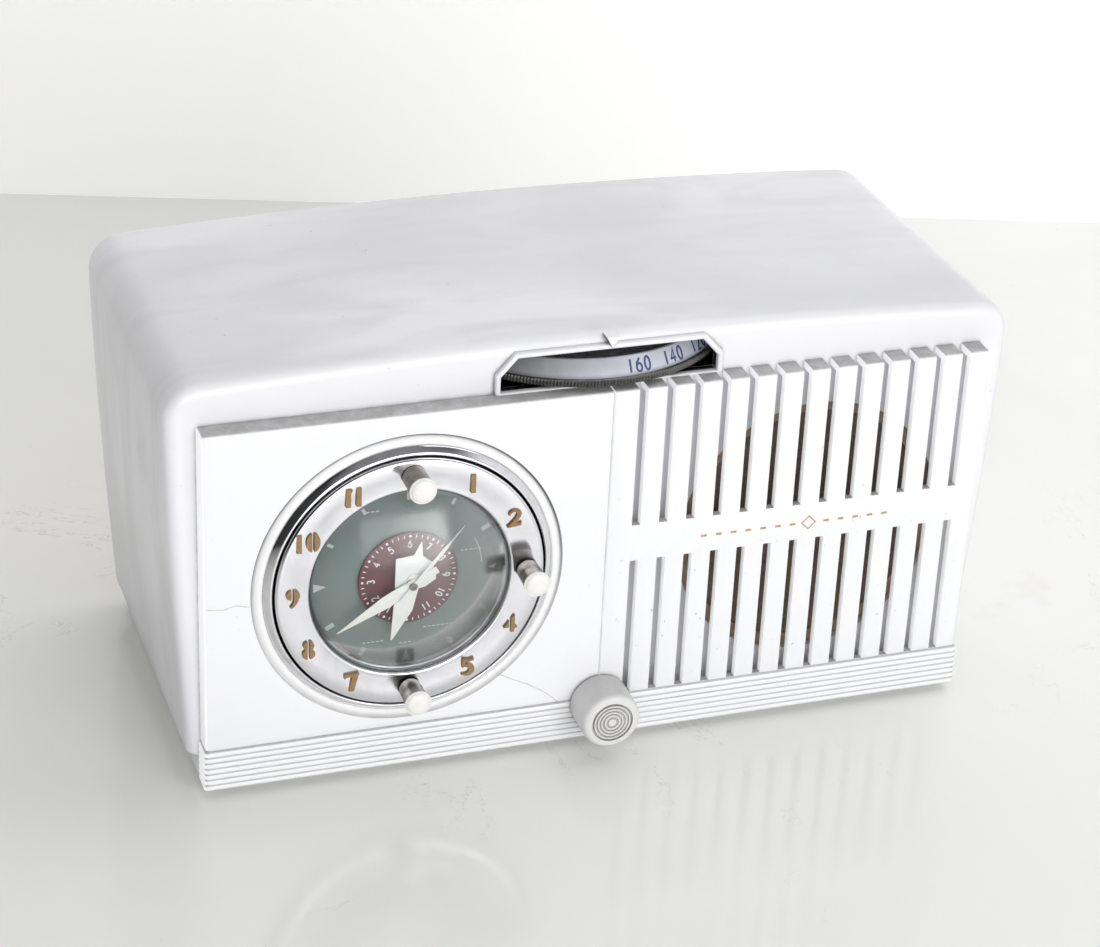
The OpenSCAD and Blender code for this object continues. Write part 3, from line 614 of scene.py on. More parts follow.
# Pen strokes of the digits in a box one high: (points, whether the stroke closes on itself).
DIGITS = {
    "0": [(loop_points(0, 0, 0.27, 0.5), True)],
    "1": [([(0, -0.5), (0, 0.5)], False)],
    "2": [(arc_points(0, 0.24, 0.26, 0.26, 170, -35, 12) + [(-0.26, -0.5), (0.28, -0.5)], False)],
    "3": [(arc_points(-0.02, 0.25, 0.25, 0.25, 150, -75, 12)
           + arc_points(-0.02, -0.23, 0.29, 0.27, 75, -150, 12), False)],
    "4": [([(0.1, -0.5), (0.1, 0.5), (-0.29, -0.2), (0.3, -0.2)], False)],
    "5": [([(0.24, 0.5), (-0.2, 0.5), (-0.24, 0.06)]
           + arc_points(0, -0.17, 0.28, 0.33, 130, -150, 14), False)],
    "6": [(loop_points(0, -0.2, 0.27, 0.3), True),
          ([(-0.27, -0.2), (-0.2, 0.16), (0.1, 0.5)], False)],
    "7": [([(-0.27, 0.5), (0.27, 0.5), (-0.06, -0.5)], False)],
    "8": [(loop_points(0, 0.25, 0.22, 0.25), True), (loop_points(0, -0.24, 0.27, 0.26), True)],
    "9": [(loop_points(0, 0.2, 0.27, 0.3), True),
          ([(0.27, 0.2), (0.2, -0.16), (-0.1, -0.5)], False)],
}


def pen_sections(points, closed, half):
    """Left and right edge points along a stroke of the given half width."""
    count = len(points)
    sections = []
    for i, here in enumerate(points):
        ends = []
        if i > 0 or closed:
            ends.append((points[i - 1], here))
        if i < count - 1 or closed:
            ends.append((here, points[(i + 1) % count]))
        ways = [Vector((b[0] - a[0], b[1] - a[1])).normalized() for a, b in ends]
        way = sum(ways, Vector((0, 0)))
        reach = half * min(1.7, len(ways) / max(way.length, 1e-6))
        way.normalize()
        across = Vector((-way.y, way.x)) * reach
        sections.append(((here[0] + across.x, here[1] + across.y),
                         (here[0] - across.x, here[1] - across.y)))
    return sections


def painted_number(text, height, spread, pen, squeeze, place):
    """Verts and faces of a number in raised paint; place maps (u, v, 0 or 1) to a point."""
    verts, faces = [], []
    scale = height - pen
    for position, digit in enumerate(text):
        shift = (position - (len(text) - 1) / 2) * spread
        for points, closed in DIGITS[digit]:
            placed = [(u * scale * squeeze + shift, v * scale) for u, v in points]
            sections = pen_sections(placed, closed, pen / 2)
            start = len(verts)
            for left, right in sections:
                verts += [place(*left, 0), place(*right, 0), place(*right, 1), place(*left, 1)]
            faces += shifted(ring_faces(4, len(sections), closed), start)
            if not closed:
                faces += shifted([range(4)], start) + shifted([range(4)], len(verts) - 4)
    return verts, faces


def merged(name, meshes):
    verts, faces = [], []
    for part_verts, part_faces in meshes:
        start = len(verts)
        verts += part_verts
        faces += shifted(part_faces, start)
    return raw_object(name, verts, faces)


def tube(name, points, radius, sides=16):
    """Round solid swept along a path of points."""
    path = [Vector(p) for p in points]
    rings = []
    side = None
    for i, p in enumerate(path):
        ahead = (path[min(i + 1, len(path) - 1)] - path[max(i - 1, 0)]).normalized()
        if side is None:
            side = ahead.orthogonal().normalized()
        side = (side - ahead * side.dot(ahead)).normalized()
        other = ahead.cross(side)
        rings.append([tuple(p + (side * math.cos(2 * math.pi * k / sides)
                                 + other * math.sin(2 * math.pi * k / sides)) * radius)
                      for k in range(sides)])
    return loft(name, rings)


# ---- finishes
SHELL = worn_plastic("shell", (0.86, 0.86, 0.885), 0.8, 0.06, 0.75, 0.285)
PANEL = worn_plastic("panel", (0.885, 0.888, 0.905), 0.12, 0.8, 0.35, 0.3, glow_left=0.34)
STEP = worn_plastic("panel_step", (0.92, 0.92, 0.925), 0.1, 0.2, 0.7, 0.3, reach=0.004,
                    groove=60.5)
POINTER = worn_plastic("pointer", (0.88, 0.88, 0.89), 0.1, 0, 0.3, 0.3, 0.85)
KNOB = worn_plastic("knob", (0.74, 0.735, 0.73), 0.35, 0.3, 0.85, 0.42)
CAP = surface("cap", (0.9, 0.89, 0.86), 0.37, 0, 160, 0.04, 0.03, 0.25, 0.3)
CHROME = surface("chrome", (0.8, 0.8, 0.82), 0.09, 1, 260, 0.08, 0.02, 1)
RING = ring_metal()
BRONZE = surface("bronze", (0.33, 0.205, 0.088), 0.42, 0.25, 700, 0.2, 0.15, 0.9)
GREEN = surface("dial_green", (0.2, 0.246, 0.234), 0.5, 0, 60, 0.05, 0, 0.85)
PRINT = surface("print_white", (0.62, 0.65, 0.64), 0.6, 0, 500, 0.1, 0, 0)
DISC_PRINT = surface("disc_print", (0.86, 0.86, 0.86), 0.6, 0, 500, 0.06, 0, 0)
GASKET = surface("gasket", (0.09, 0.09, 0.088), 0.4, 0.3, 400, 0.2, 0.1, 0)
LENS = clear_glass("lens", (0.985, 0.992, 0.992), 0.014, 0.012, (CLOCK_X - 12, CLOCK_X + 36))
MAROON = surface("maroon", (0.15, 0.05, 0.062), 0.45, 0, 300, 0.14, 0, 0)
HAND_WHITE = surface("hand_white", (0.92, 0.92, 0.92), 0.4, 0, 200, 0.04, 0.02, 0)
HAND_CREAM = surface("hand_cream", (0.92, 0.92, 0.87), 0.42, 0, 260, 0.05, 0.02, 0)
SLEEVE = surface("sleeve", (0.24, 0.225, 0.21), 0.36, 0.7, 420, 0.25, 0.1, 0.9)
DIAL_BAND = printed_band()
KNURL = surface("knurl", (0.15, 0.148, 0.145), 0.3, 0.6, 500, 0.25, 0.1, 0.9)
WEB = surface("dial_web", (0.19, 0.19, 0.195), 0.5, 0.2, 420, 0.5, 0.2, 0.4)
NAVY = surface("navy_print", (0.06, 0.075, 0.19), 0.5, 0, 700, 0.25, 0, 0)
GOLD = surface("gold_print", (0.52, 0.36, 0.13), 0.35, 0.7, 900, 0.3, 0, 0)
CRACK = surface("crack_line", (0.58, 0.56, 0.53), 0.8, 0, 900, 0.3, 0, 0)
BRASS = surface("brass", (0.56, 0.42, 0.18), 0.3, 1, 260, 0.12, 0.08, 0.5)
STEEL = surface("plated_steel", (0.52, 0.52, 0.51), 0.36, 1, 180, 0.14, 0.12, 0.5)
ALUMINIUM = surface("aluminium", (0.68, 0.69, 0.7), 0.34, 1, 240, 0.1, 0.1, 0.4)
COPPER = surface("copper", (0.5, 0.24, 0.12), 0.34, 1, 600, 0.2, 0.2, 0.4)
BASKET = basket_paint()
MAGNET = surface("magnet", (0.2, 0.2, 0.21), 0.55, 0.8, 240, 0.25, 0.3, 0.4)
PHENOLIC = surface("phenolic", (0.13, 0.06, 0.03), 0.45, 0, 420, 0.3, 0.2, 0.4)
COIL = surface("coil_paper", (0.42, 0.3, 0.15), 0.7, 0, 340, 0.25, 0.3, 0.4)
RUBBER = surface("cord_rubber", (0.045, 0.035, 0.03), 0.62, 0, 380, 0.35, 0.3, 0.4)
BLACK_KNOB = surface("time_knob", (0.03, 0.024, 0.02), 0.4, 0, 300, 0.3, 0.15, 0.4)
TUBE_GLASS = clear_glass("tube_glass", (0.93, 0.95, 0.96), 0.09)
LAMP_GLASS = clear_glass("lamp_glass", (0.98, 0.93, 0.78), 0.1)
FIBRE = fibreboard()
CONE = paper_cone()
IRON = laminations()


# ---- cabinet
def side_x(z):
    drop = max(0, SHOULDER - z) / (SHOULDER - PLINTH)
    return BASE_HALF + (BODY_HALF - BASE_HALF) * (1 - drop ** 1.5)


def cabinet_outline(inset, low=PLINTH):
    """Front outline of the cabinet, drawn in by inset: sides, rounded corners, crowned top."""
    side, arc, crown = 20, 10, 14
    right = [(side_x(z) - inset, z) for z in
             (low + (CORNER_Z - low) * k / side for k in range(side + 1))]
    for k in range(1, arc):
        a = (math.pi / 2 - SLOPE) * k / arc
        right.append((CORNER_X + (CORNER_R - inset) * math.cos(a),
                      CORNER_Z + (CORNER_R - inset) * math.sin(a)))
    for k in range(crown, -1, -1):
        x = CROWN_X * k / crown
        right.append((x, TOP - inset - CROWN * (x / CROWN_X) ** 2))
    return right + [(-x, z) for x, z in reversed(right[:-1])]


def at_y(outline, y):
    return [(x, y, z) for x, z in outline]


def build_cabinet():
    front_round, rear_round = 5.5, 8
    turn = quarter_turn(8)
    rings = [at_y(cabinet_outline(front_round * (1 - sine)), FACE + front_round * (1 - cosine))
             for sine, cosine in turn]
    rings += [at_y(cabinet_outline(0), y) for y in (-40, -5, 30)]
    rings += [at_y(cabinet_outline(rear_round * (1 - cosine)), REAR - rear_round * (1 - sine))
              for sine, cosine in turn]
    body = loft("cabinet_shell", rings)
    plinth = soften(box_obj("plinth", (-157, FACE + 0.2, 3), (157, REAR - 4, 15)), 2, 3)
    combine(body, [plinth], "UNION")
    behind = REAR + 5
    inside = cabinet_outline(WALL, 12)
    vents = [((x - 2, 30, -1), (x + 2, 64, 7)) for x in range(-120, 121, 20) if 15 < abs(x) < 124]
    cutters = [loft("cavity", [at_y(inside, INNER), at_y(inside, behind)]),
               box_obj("lower", (-154, INNER, 5), (154, behind, 20)),
               prism("window", [window_outline(0)], FACE - 6, INNER + 4)]
    cutters += [drill_y(x, z, radius, FACE - 3, INNER + 3, segments)
                for x, z, radius, segments in ((CLOCK_X, CLOCK_Z, 54.4, 96),
                                               (SPEAKER_X, SPEAKER_Z, 55, 96),
                                               (SEAM, VOLUME_Z, 4.6, 32))]
    combine(body, cutters + [boxes_obj("vents", vents)], "DIFFERENCE")
    soften(body, 0.5, 2, 40)
    return piece(body, "cabinet", SHELL, "cabinet")


def build_foot_rails():
    """Rails under the plinth: front, rear, both sides and the middle."""
    (left, front, low), (right, back, high) = mm_box("foot_rails")
    front_end, rear_start, side_w, middle_half = front + 14.5, back - 10, 10.5, 8
    rails = [((left, front, low), (right, front_end, high)),
             ((left, rear_start, low), (right, back, high)),
             ((left, front_end, low), (left + side_w, rear_start, high)),
             ((right - side_w, front_end, low), (right, rear_start, high)),
             ((-middle_half, front_end, low), (middle_half, rear_start, high))]
    feet = soften(boxes_obj("foot_rail_set", rails), 0.5, 2)
    piece(feet, "cabinet", PANEL, "foot_rails")


def window_outline(grow):
    """Six-sided opening of the tuning window, in XZ, grown on all sides but the foot."""
    half, slant = 43 + grow, 36.5 + grow / 2
    mid, low, knee, high = 1.4, PANEL_TOP + max(0, 0.8 - grow), 161 + grow / 2, 168.2 + grow
    return [(mid - half, low), (mid - half, knee), (mid - slant, high),
            (mid + slant, high), (mid + half, knee), (mid + half, low)]


def build_window_frame():
    section = [(0, INNER), (0, FACE - 1.5), (0.35, FACE - 2.1), (1, FACE - 2.3),
               (1.8, FACE - 2.1), (2.2, FACE - 1.5), (2.2, FACE + 0.6), (1, INNER)]
    ring = loft("window_frame", [at_y(window_outline(g), y) for g, y in section], True)
    soften(ring, 0.25, 2, 30)
    piece(ring, "cabinet", SHELL)
    pointer = prism("window_pointer", [[(-1.2, TOP - 1), (4.2, TOP - 1), (1.3, 169)]],
                    FACE - 3, FACE + 7)
    soften(pointer, 0.1, 1)
    piece(pointer, "cabinet", POINTER, sharp=20)


# ---- raised panels
FLUTE_PITCH = (FLUTE_TOP - PANEL_FOOT) / FLUTES


def rib_sink(t):
    """Depth of the ribbed band's surface behind its crests, t of the way across a flute."""
    return 1 - math.sqrt(max(0, 1 - (t * 2 - 1) ** 2))


def panel_levels():
    """(height, how far the face and ends stand out) from the foot to the rounded top edge."""
    levels = [(PANEL_FOOT + (k + t) * FLUTE_PITCH, 0.9 - rib_sink(t))
              for k in range(FLUTES) for t in (0.02, 0.1, 0.25, 0.5, 0.75, 0.9, 0.98)]
    levels += [(FLUTE_TOP + 0.2, -0.35), (FLUTE_TOP + 0.8, 0), (60, 0), (110, 0)]
    radius = 1.3
    return levels + [(PANEL_TOP - radius * (1 - sine), -radius * (1 - cosine))
                     for sine, cosine in quarter_turn(5)]


def panel_section(x0, x1, z, out, open_left):
    """Outline in XY of one panel at height z; the outer side edge is rounded and drafted."""
    back, front = FACE + 0.05, FRONT - out
    outer, seam = (x0, x1) if open_left else (x1, x0)
    sign = 1 if open_left else -1
    outer_x = outer - sign * out
    points = [(seam, back, z), (seam, front + 0.5, z), (seam - sign * 0.15, front + 0.15, z),
              (seam - sign * 0.5, front, z)]
    radius = 1.4
    points += [(outer_x + sign * radius * (1 - sine), front + radius * (1 - cosine), z)
               for sine, cosine in quarter_turn(5)]
    points.append((outer_x, back, z))
    return points if open_left else points[::-1]


def panel_block(name, x0, x1, open_left):
    return loft(name, [panel_section(x0, x1, z, out, open_left) for z, out in panel_levels()])


def build_panels():
    near, far = FRONT - 5, FACE + 5
    left = panel_block("clock_panel_face", PANEL_LEFT, SEAM - 0.3, True)
    combine(left, [drill_y(CLOCK_X, CLOCK_Z, STEP_R, near, far, 160),
                   drill_y(SEAM, VOLUME_Z, SHAFT_HOLE, near, far, 32)], "DIFFERENCE")
    piece(left, "cabinet", PANEL, "clock_panel")
    step = turned_on_clock("clock_panel_step", FRONT, [
        (STEP_R, 0.15), (60.6, 0.75), (60.2, 0.9), (59.7, 0.7), (59, 0.15), (58.2, -0.25),
        (57.4, -0.4), (56.6, -0.25), (56, 0.4), (55.2, 1.2), (54.6, 3), (54.6, PANEL_THICK),
        (STEP_R, PANEL_THICK)], 192)
    piece(step, "cabinet", STEP, sharp=50)
    right = panel_block("grille_panel_face", SEAM + 0.3, PANEL_RIGHT, False)
    hollow = box_obj("hollow", (SEAM - 1, FRONT + 3.2, 6),
                     (PANEL_RIGHT - 3, FACE + 3, PANEL_TOP - 3))
    half = 1.75
    centres = [12.6 + 11.1 * k for k in range(13)]
    slots = [((x - half, near, low), (x + half, far, high))
             for low, high in ((95.7, PANEL_TOP + 5), (20.7, 80.2)) for x in centres]
    combine(right, [hollow, boxes_obj("slots", slots),
                    drill_y(SEAM, VOLUME_Z, SHAFT_HOLE, near, far, 32)], "DIFFERENCE")
    soften(right, 0.85, 3, 50)
    piece(right, "cabinet", PANEL, "grille_panel", 40)


def ribbon(name, points, width, y):
    """Thin irregular hairline lying on the panel face."""
    outline_a, outline_b = [], []
    for i, (x, z) in enumerate(points):
        nx, nz = points[min(i + 1, len(points) - 1)]
        px, pz = points[max(i - 1, 0)]
        length = math.hypot(nx - px, nz - pz)
        w = width * (0.25 if i in (0, len(points) - 1) else rng.uniform(0.6, 1.2)) / 2
        ox, oz = -(nz - pz) / length * w, (nx - px) / length * w
        outline_a.append((x + ox, z + oz))
        outline_b.append((x - ox, z - oz))
    return prism(name, [outline_a + outline_b[::-1]], y - 0.03, y + 0.1)


def wander(points, steps, amount):
    """The path through points with each step nudged at random."""
    made = []
    for (x0, z0), (x1, z1) in zip(points, points[1:]):
        for k in range(steps):
            t = k / steps
            made.append((x0 + (x1 - x0) * t + rng.uniform(-amount, amount),
                         z0 + (z1 - z0) * t + rng.uniform(-amount, amount)))
    return made + [points[-1]]


def build_panel_marks():
    cracks = (("panel_hairline_a", 0.22, 0.34,
               [(-40.9, 37.4), (-35.9, 34.7), (-28.8, 30.8), (-22, 26.6), (-16.4, 21.4),
                (-12.1, 18)]),
              ("panel_hairline_b", 0.2, 0.3,
               [(-155, 82.4), (-149, 81.7), (-143.5, 82.9), (-138.6, 81.6)]))
    for name, nudge, width, points in cracks:
        line = ribbon(name, wander(points, 4, nudge), width, FRONT)
        piece(line, "cabinet", CRACK)
    dashes = [plate(x - 1.2, 86.85, x + 1.2, 87.75)
              for k in range(7) for x in (41 + 6.2 * k, 92.5 + 6.2 * k) if x <= 118]
    corners = ((-3.2, 0), (0, 3.2), (3.2, 0), (0, -3.2))
    for i, a in enumerate(corners):
        b = corners[(i + 1) % 4]
        inner_b, inner_a = [(u * LOZENGE_INNER, v * LOZENGE_INNER) for u, v in (b, a)]
        dashes.append([(85 + u, 87.3 + v) for u, v in (a, b, inner_b, inner_a)])
    piece(prism("panel_gold_dashes", dashes, FRONT - 0.06, FRONT + 0.1), "cabinet",
          GOLD)


# ---- clock face
def mirror(outline):
    return [(-u, v) for u, v in reversed(outline)]


def numeral_outlines():
    """Heavy stencil numerals, 7.6 high, centred on the origin."""
    bar = [(-0.95, -3.8), (0.95, -3.8), (0.95, 3.8), (-0.95, 3.8)]
    zero = arc_points(-0.4, 0, 2.3, 3.8, 90, 270, 14)
    eight = (arc_points(-0.4, 2, 1.75, 1.8, 90, 235, 9)
             + arc_points(-0.4, -1.7, 2.15, 2.1, 125, 270, 9))
    nine_left = arc_points(-0.45, 1.75, 2.2, 2.05, 90, 270, 10)
    nine_right = (arc_points(0.4, 1.3, 2.35, 2.5, 90, -10, 8)
                  + [(2.1, -0.7), (1.3, -2.3), (0.1, -3.5), (-0.7, -3.8), (-1.1, -3.3),
                     (-0.1, -2.3), (0.4, -1.2)])
    two = [(-2.5, 1.3), (-2.4, 2.3), (-1.6, 3.3), (-0.3, 3.8), (1.2, 3.7), (2.3, 2.9),
           (2.6, 1.8), (2.3, 0.7), (1.5, -0.6), (0.5, -2.2), (1.7, -2.2), (2.7, -1.6),
           (2.5, -3.2), (0.6, -3.5), (-2.9, -3.8), (-1.9, -2.6), (-0.5, -0.9), (0.4, 0.6),
           (0.8, 1.8), (0.4, 2.7), (-0.6, 2.8), (-1.5, 2.2), (-2.1, 1.2)]
    four_left = [(-2.9, -1.7), (-0.7, -1.7), (-0.7, 1.3)]
    four_right = [(0, -3.8), (1.3, -3.8), (1.6, -2.3), (2.5, -2), (2.5, -1.2), (1.6, -1.2),
                  (1.6, 3.8), (0.9, 3.4), (0, 2)]
    five = [(-2, 3.6), (0.5, 3.3), (2.4, 3.8), (2.4, 2.7), (0.3, 2.4), (-1, 2.4),
            (-1, 1.4), (0.9, 1.3), (2.3, 0.5), (2.8, -1), (2.4, -2.6), (1.1, -3.7),
            (-0.8, -3.8), (-2.6, -3.2), (-2.2, -2.6), (-0.7, -2.7), (0.3, -2.2), (0.5, -1),
            (-0.2, -0.1), (-1.3, 0.1), (-2.2, -0.2)]
    seven = [(-2.8, 3.8), (2.9, 3.8), (2.5, 2.6), (0.9, -3.8), (-1.1, -3.8), (0.2, 2.5),
             (-1.8, 2.6), (-2.9, 1.9)]

    def moved(outline, u):
        return [(x + u, z) for x, z in outline]

    return {1: [bar], 2: [two], 4: [four_left, four_right], 5: [five], 7: [seven],
            8: [eight, mirror(eight)], 9: [nine_left, nine_right],
            10: [moved(bar, -3.7), moved(zero, 1.6), moved(mirror(zero), 1.6)],
            11: [moved(bar, -2), moved(bar, 2), [(-1, 2.2), (-0.5, 2.9), (-0.5, 3.6),
                                                      (-1, 3.4)]]}


def build_clock_rings():
    bezel = turned_on_clock("clock_bezel_rim", FRONT, [
        (56.5, 1.2), (56.5, 0.1), (56.3, -0.4), (55.7, -1), (55, -1.65), (54.5, -2.1),
        (54.1, -2.4), (53.7, -2.5), (53.35, -2.4), (53.1, -2), (52.95, -1.2), (52.5, -0.6),
        (52.5, PANEL_THICK), (53.9, PANEL_THICK), (53.9, 1.2)], 192)
    piece(bezel, "cabinet", CHROME, "clock_bezel", 70)
    inner, back = GLASS_R, RING_R - 0.8
    ring = turned_on_clock("numeral_ring_face", FRONT, [
        (inner, 0.4), (inner, -1.5), (inner + 0.15, -2.2), (inner + 0.5, -2.75),
        (inner + 1, -2.95), (inner + 1.5, -2.9), (inner + 2, -2.85), (46, -3.3),
        (51, -3.6), (51.7, -3.4), (52.25, -2.8), (RING_R, -2), (RING_R, PANEL_THICK),
        (back, PANEL_THICK), (back, -2.4), (inner + 1.6, -1.6), (inner + 1.2, 0.4)], 192)
    piece(ring, "cabinet", RING, "numeral_ring", 50)
    outlines = []
    radius = 45.8
    for hour, shapes in numeral_outlines().items():
        centre_u, centre_v = clockwise(0, radius, 30 * hour)
        outlines += [on_clock([(centre_u + u, centre_v + v) for u, v in shape])
                     for shape in shapes]
    numerals = soften(prism("hour_numeral_set", outlines, FRONT - 4.2, FRONT - 3), 0.06, 1, 30)
    piece(numerals, "cabinet", BRONZE, "hour_numerals")


def build_dial():
    rim, wall = GLASS_R + 0.6, GLASS_R - 0.4
    well = turned_on_clock("clock_dial_face", DIAL_Y_FACE, [
        (3.7, 0), (rim, 0), (rim, INNER - DIAL_Y_FACE), (wall, INNER - DIAL_Y_FACE), (wall, 0.8),
        (3.7, 0.8)], 160)
    piece(well, "cabinet", GREEN, "clock_dial")
    gasket = turned_on_clock("clock_dial_gasket", FRONT, [
        (37.7, 1.98), (38.3, 1.3), (38.5, 0.3), (38.5, -1.2), (38.9, -1.2), (38.95, 1.98)], 160)
    piece(gasket, "cabinet", GASKET)
    marks = []
    for hour in range(1, 13):
        if hour in (3, 6, 9):
            shape = [(-1.9, 36.6), (0, 31.6), (1.9, 36.6)]
        elif hour in (10, 11, 1):
            shape = plate(-0.65, 33.4, 0.65, 36)
        else:
            shape = plate(-0.95, 33, 0.95, 36.6)
        marks.append(on_clock(shape, 30 * hour))
    # Rows of plain bars where the real dial has small words: middle of the row, and its count.
    for mid_u, mid_v, count in ((-13.2, -26.6, 5), (-0.5, -28.6, 3), (12.4, -22.8, 7),
                                (24.6, 8.6, 5), (-14, 29.6, 3)):
        for k in range(count):
            u = mid_u + (k - (count - 1) / 2) * 1.75
            marks.append(on_clock(plate(u - 0.55, mid_v - 0.22, u + 0.55, mid_v + 0.22)))
    inner, outer = [arc_points(0, 0, radius, radius, 5, 28, 12) for radius in (29, 29.35)]
    marks.append(on_clock(inner + outer[::-1]))
    piece(prism("clock_dial_marks", marks, DIAL_Y_FACE - 0.07, DIAL_Y_FACE + 0.05), "cabinet",
          PRINT)


def lens_profile(front, samples=18):
    """Points of the glass dome, whose crown is at front, from its edge to the middle."""
    sphere, edge = 62, GLASS_R - 0.05
    return [(r, front + sphere - math.sqrt(sphere ** 2 - r * r))
            for r in (edge * k / samples for k in range(samples, -1, -1))]


def build_lens():
    crown = mm_box("clock_lens")[0][1]
    profile = lens_profile(crown) + lens_profile(crown + 1.2)[::-1]
    piece(turned_on_clock("clock_lens_dome", 0, profile, 128), "cabinet", LENS,
          "clock_lens", 60)


def build_alarm_disc():
    face = mm_box("alarm_disc")[0][1]
    disc = turned_on_clock("alarm_disc_face", face, [
        (3.4, 0), (19.1, 0), (19.35, 0.1), (19.4, 0.3), (19.4, 1), (3.4, 1)], 128)
    piece(disc, "alarm", MAROON, "alarm_disc")
    turn = 1.24
    outlines = []
    for k in range(48):
        if k % 4 == 0:
            shape = arc_points(0, 18, 0.55, 0.55, 0, 330, 11)
        else:
            shape = plate(-0.19, 17.3, 0.19, 18.6)
        outlines.append(on_clock(shape, k * 7.5 + turn))
    dots = prism("alarm_disc_dots", outlines, face - 0.05, face + 0.1)
    piece(dots, "alarm", DISC_PRINT)

    def placed(degrees):
        def place(u, v, top):
            x, z = clockwise(u, v + 14.7, degrees)
            return CLOCK_X + x, face + 0.02 - 0.08 * top, CLOCK_Z + z
        return place

    numbers = [painted_number(str(hour), 3.3, 1.85, 0.5, 0.85, placed(30 * hour - 180 + turn))
               for hour in range(1, 13)]
    piece(merged("alarm_disc_numbers", numbers), "alarm", DISC_PRINT)


def blade(node, stations, angle, ridge, material):
    """Hand with a raised centre line: stations are (distance along, half width)."""
    thick = 0.2
    back = mm_box(node)[0][1] + 0.22
    widest = max(half for _, half in stations)
    rings = []
    for along, half in stations:
        section = ((-half, back), (-half, back - thick), (0, back - thick - ridge * half / widest),
                   (half, back - thick), (half, back))
        placed = [(clockwise(u, along, angle), y) for u, y in section]
        rings.append([(CLOCK_X + x, y, CLOCK_Z + z) for (x, z), y in placed])
    body = node.split("_")[0]
    return piece(loft(node + "_blade", rings), body, material, node, 12)


def build_hands():
    house = [(-5.4, -5.2), (5.6, -1), (9.3, 2.8), (7.6, 6.6), (6.5, 9.4), (1.9, 11.8), (0, 18),
             (-1.7, 11.8), (-8.4, 9.7), (-6.4, -0.8)]
    low, high = mm_box("hour_plate")
    pointer = prism("hour_plate_face", [on_clock(house, 12)], low[1], high[1])
    piece(soften(pointer, 0.08), "hour", HAND_WHITE, "hour_plate")
    blade("hour_hand", [(-4.2, 1.8), (0, 3), (10.5, 3.9), (24.4, 0.25)], 198.5, 0.42,
          HAND_CREAM)
    blade("minute_hand", [(-11.2, 1.5), (0, 2), (7, 2.6), (12, 2.7), (33.5, 0.15)], 240, 0.42,
          HAND_CREAM)
    blade("second_hand", [(-8, 0.75), (0, 0.75), (18, 0.7), (24, 0.25), (30.5, 0.12)], 39.5, 0.14,
          HAND_WHITE)
    tip = mm_box("second_hand")[0][1]
    root = FRONT + 6 - tip
    hub = turned_on_clock("second_hand_hub", tip, [
        (0, -0.2), (0.5, -0.15), (0.75, -0.5), (1.3, -0.45), (1.55, -0.15), (1.55, 0.3),
        (0.55, 0.35), (0.55, root), (0, root)], 48)
    piece(hub, "second", SLEEVE)
    collar = turned_on_clock("minute_hand_collar", mm_box("minute_hand")[0][1], [
        (0.7, -0.5), (2.2, -0.45), (2.5, -0.2), (2.5, 0.1), (0.7, 0.1)], 48)
    piece(collar, "minute", HAND_CREAM)


def build_clock_knobs():
    places = (("alarm", 0, KNOB_CIRCLE), ("sleep", KNOB_CIRCLE, 0),
              ("function", 0, -KNOB_CIRCLE))
    for name, u, v in places:
        x, z = CLOCK_X + u, CLOCK_Z + v
        back = mm_box(name + "_stem")[1][1] - FRONT
        stem = turned_y(name + "_stem_sleeve", x, z, FRONT, [
            (0, -14.9), (4.55, -14.9), (4.85, -14.7), (4.85, -14.2), (4.6, -13.8), (4.45, -9),
            (4.35, -4.4), (4.1, -3.9), (2, -3.85), (2, back), (0, back)], 64)
        if name == "function":
            notch = box_obj("notch", (x + 1.2, FRONT - 13.2, z + 1.6),
                            (x + 6, FRONT - 7.5, z + 3.4))
            combine(stem, [notch], "DIFFERENCE")
        # The CAD's alarm stem carries its pinion, so it stays and the sleeve goes round it.
        piece(stem, name + "_knob", SLEEVE,
              None if name == "alarm" else name + "_stem")
        cap = turned_y(name + "_cap_dome", x, z, FRONT, [
            (0, -17.2), (1.8, -17.12), (3.2, -16.85), (4.1, -16.45), (4.5, -16),
            (4.62, -15.75), (4.8, -15.95), (5.1, -15.9), (5.22, -15.6), (5.2, -15.1),
            (5, -14.95), (0, -14.95)], 64)
        piece(cap, name + "_knob", CAP, name + "_cap", 60)


# ---- volume knob and tuning wheel
def build_volume_knob():
    face = FRONT - 17.5
    profile = [(0, -0.05), (1.6, 0), (1.9, 0.55), (2.3, 0.6), (2.6, 0)]
    for k in range(3):
        r = 3.2 + 1.4 * k
        profile += [(r, 0), (r + 0.3, 0.6), (r + 0.6, 0.6), (r + 0.9, 0)]
    profile[-3:-1] = [(6.3, 0.65), (6.6, 0.65)]
    profile += [(7.4, 0), (7.7, 0.9), (8.15, 0.9), (8.4, 0.05)]
    profile += [(8.9 + 2.9 * sine, 0.05 + 2.6 * (1 - cosine)) for sine, cosine in quarter_turn(6)]
    profile += [(11.9, 8), (11.9, 16.5), (11.6, 16.9), (3.05, 16.9), (3.05, 4.5), (0, 4.5)]
    knob = turned_y("volume_knob_body", VOLUME_X, VOLUME_Z, face, profile, 128)
    piece(knob, "volume", KNOB, "volume_knob", 50)


# The printed cone of the wheel: its middle, and how far it falls over how much of its radius.
BAND_R, BAND_Z = 58.55, 162.125
BAND_RUN, BAND_DROP = 3.2, 6.35


def band_point(u, v, w):
    """Point on the printed cone: u along the arc, v up the band, w outwards, in millimetres."""
    slant = math.hypot(BAND_RUN, BAND_DROP)
    run, drop = BAND_RUN / slant, BAND_DROP / slant
    r = BAND_R - v * run + w * drop
    z = BAND_Z + v * drop + w * run
    a = u / BAND_R
    return DIAL_X + r * math.sin(a), DIAL_Y - r * math.cos(a), z


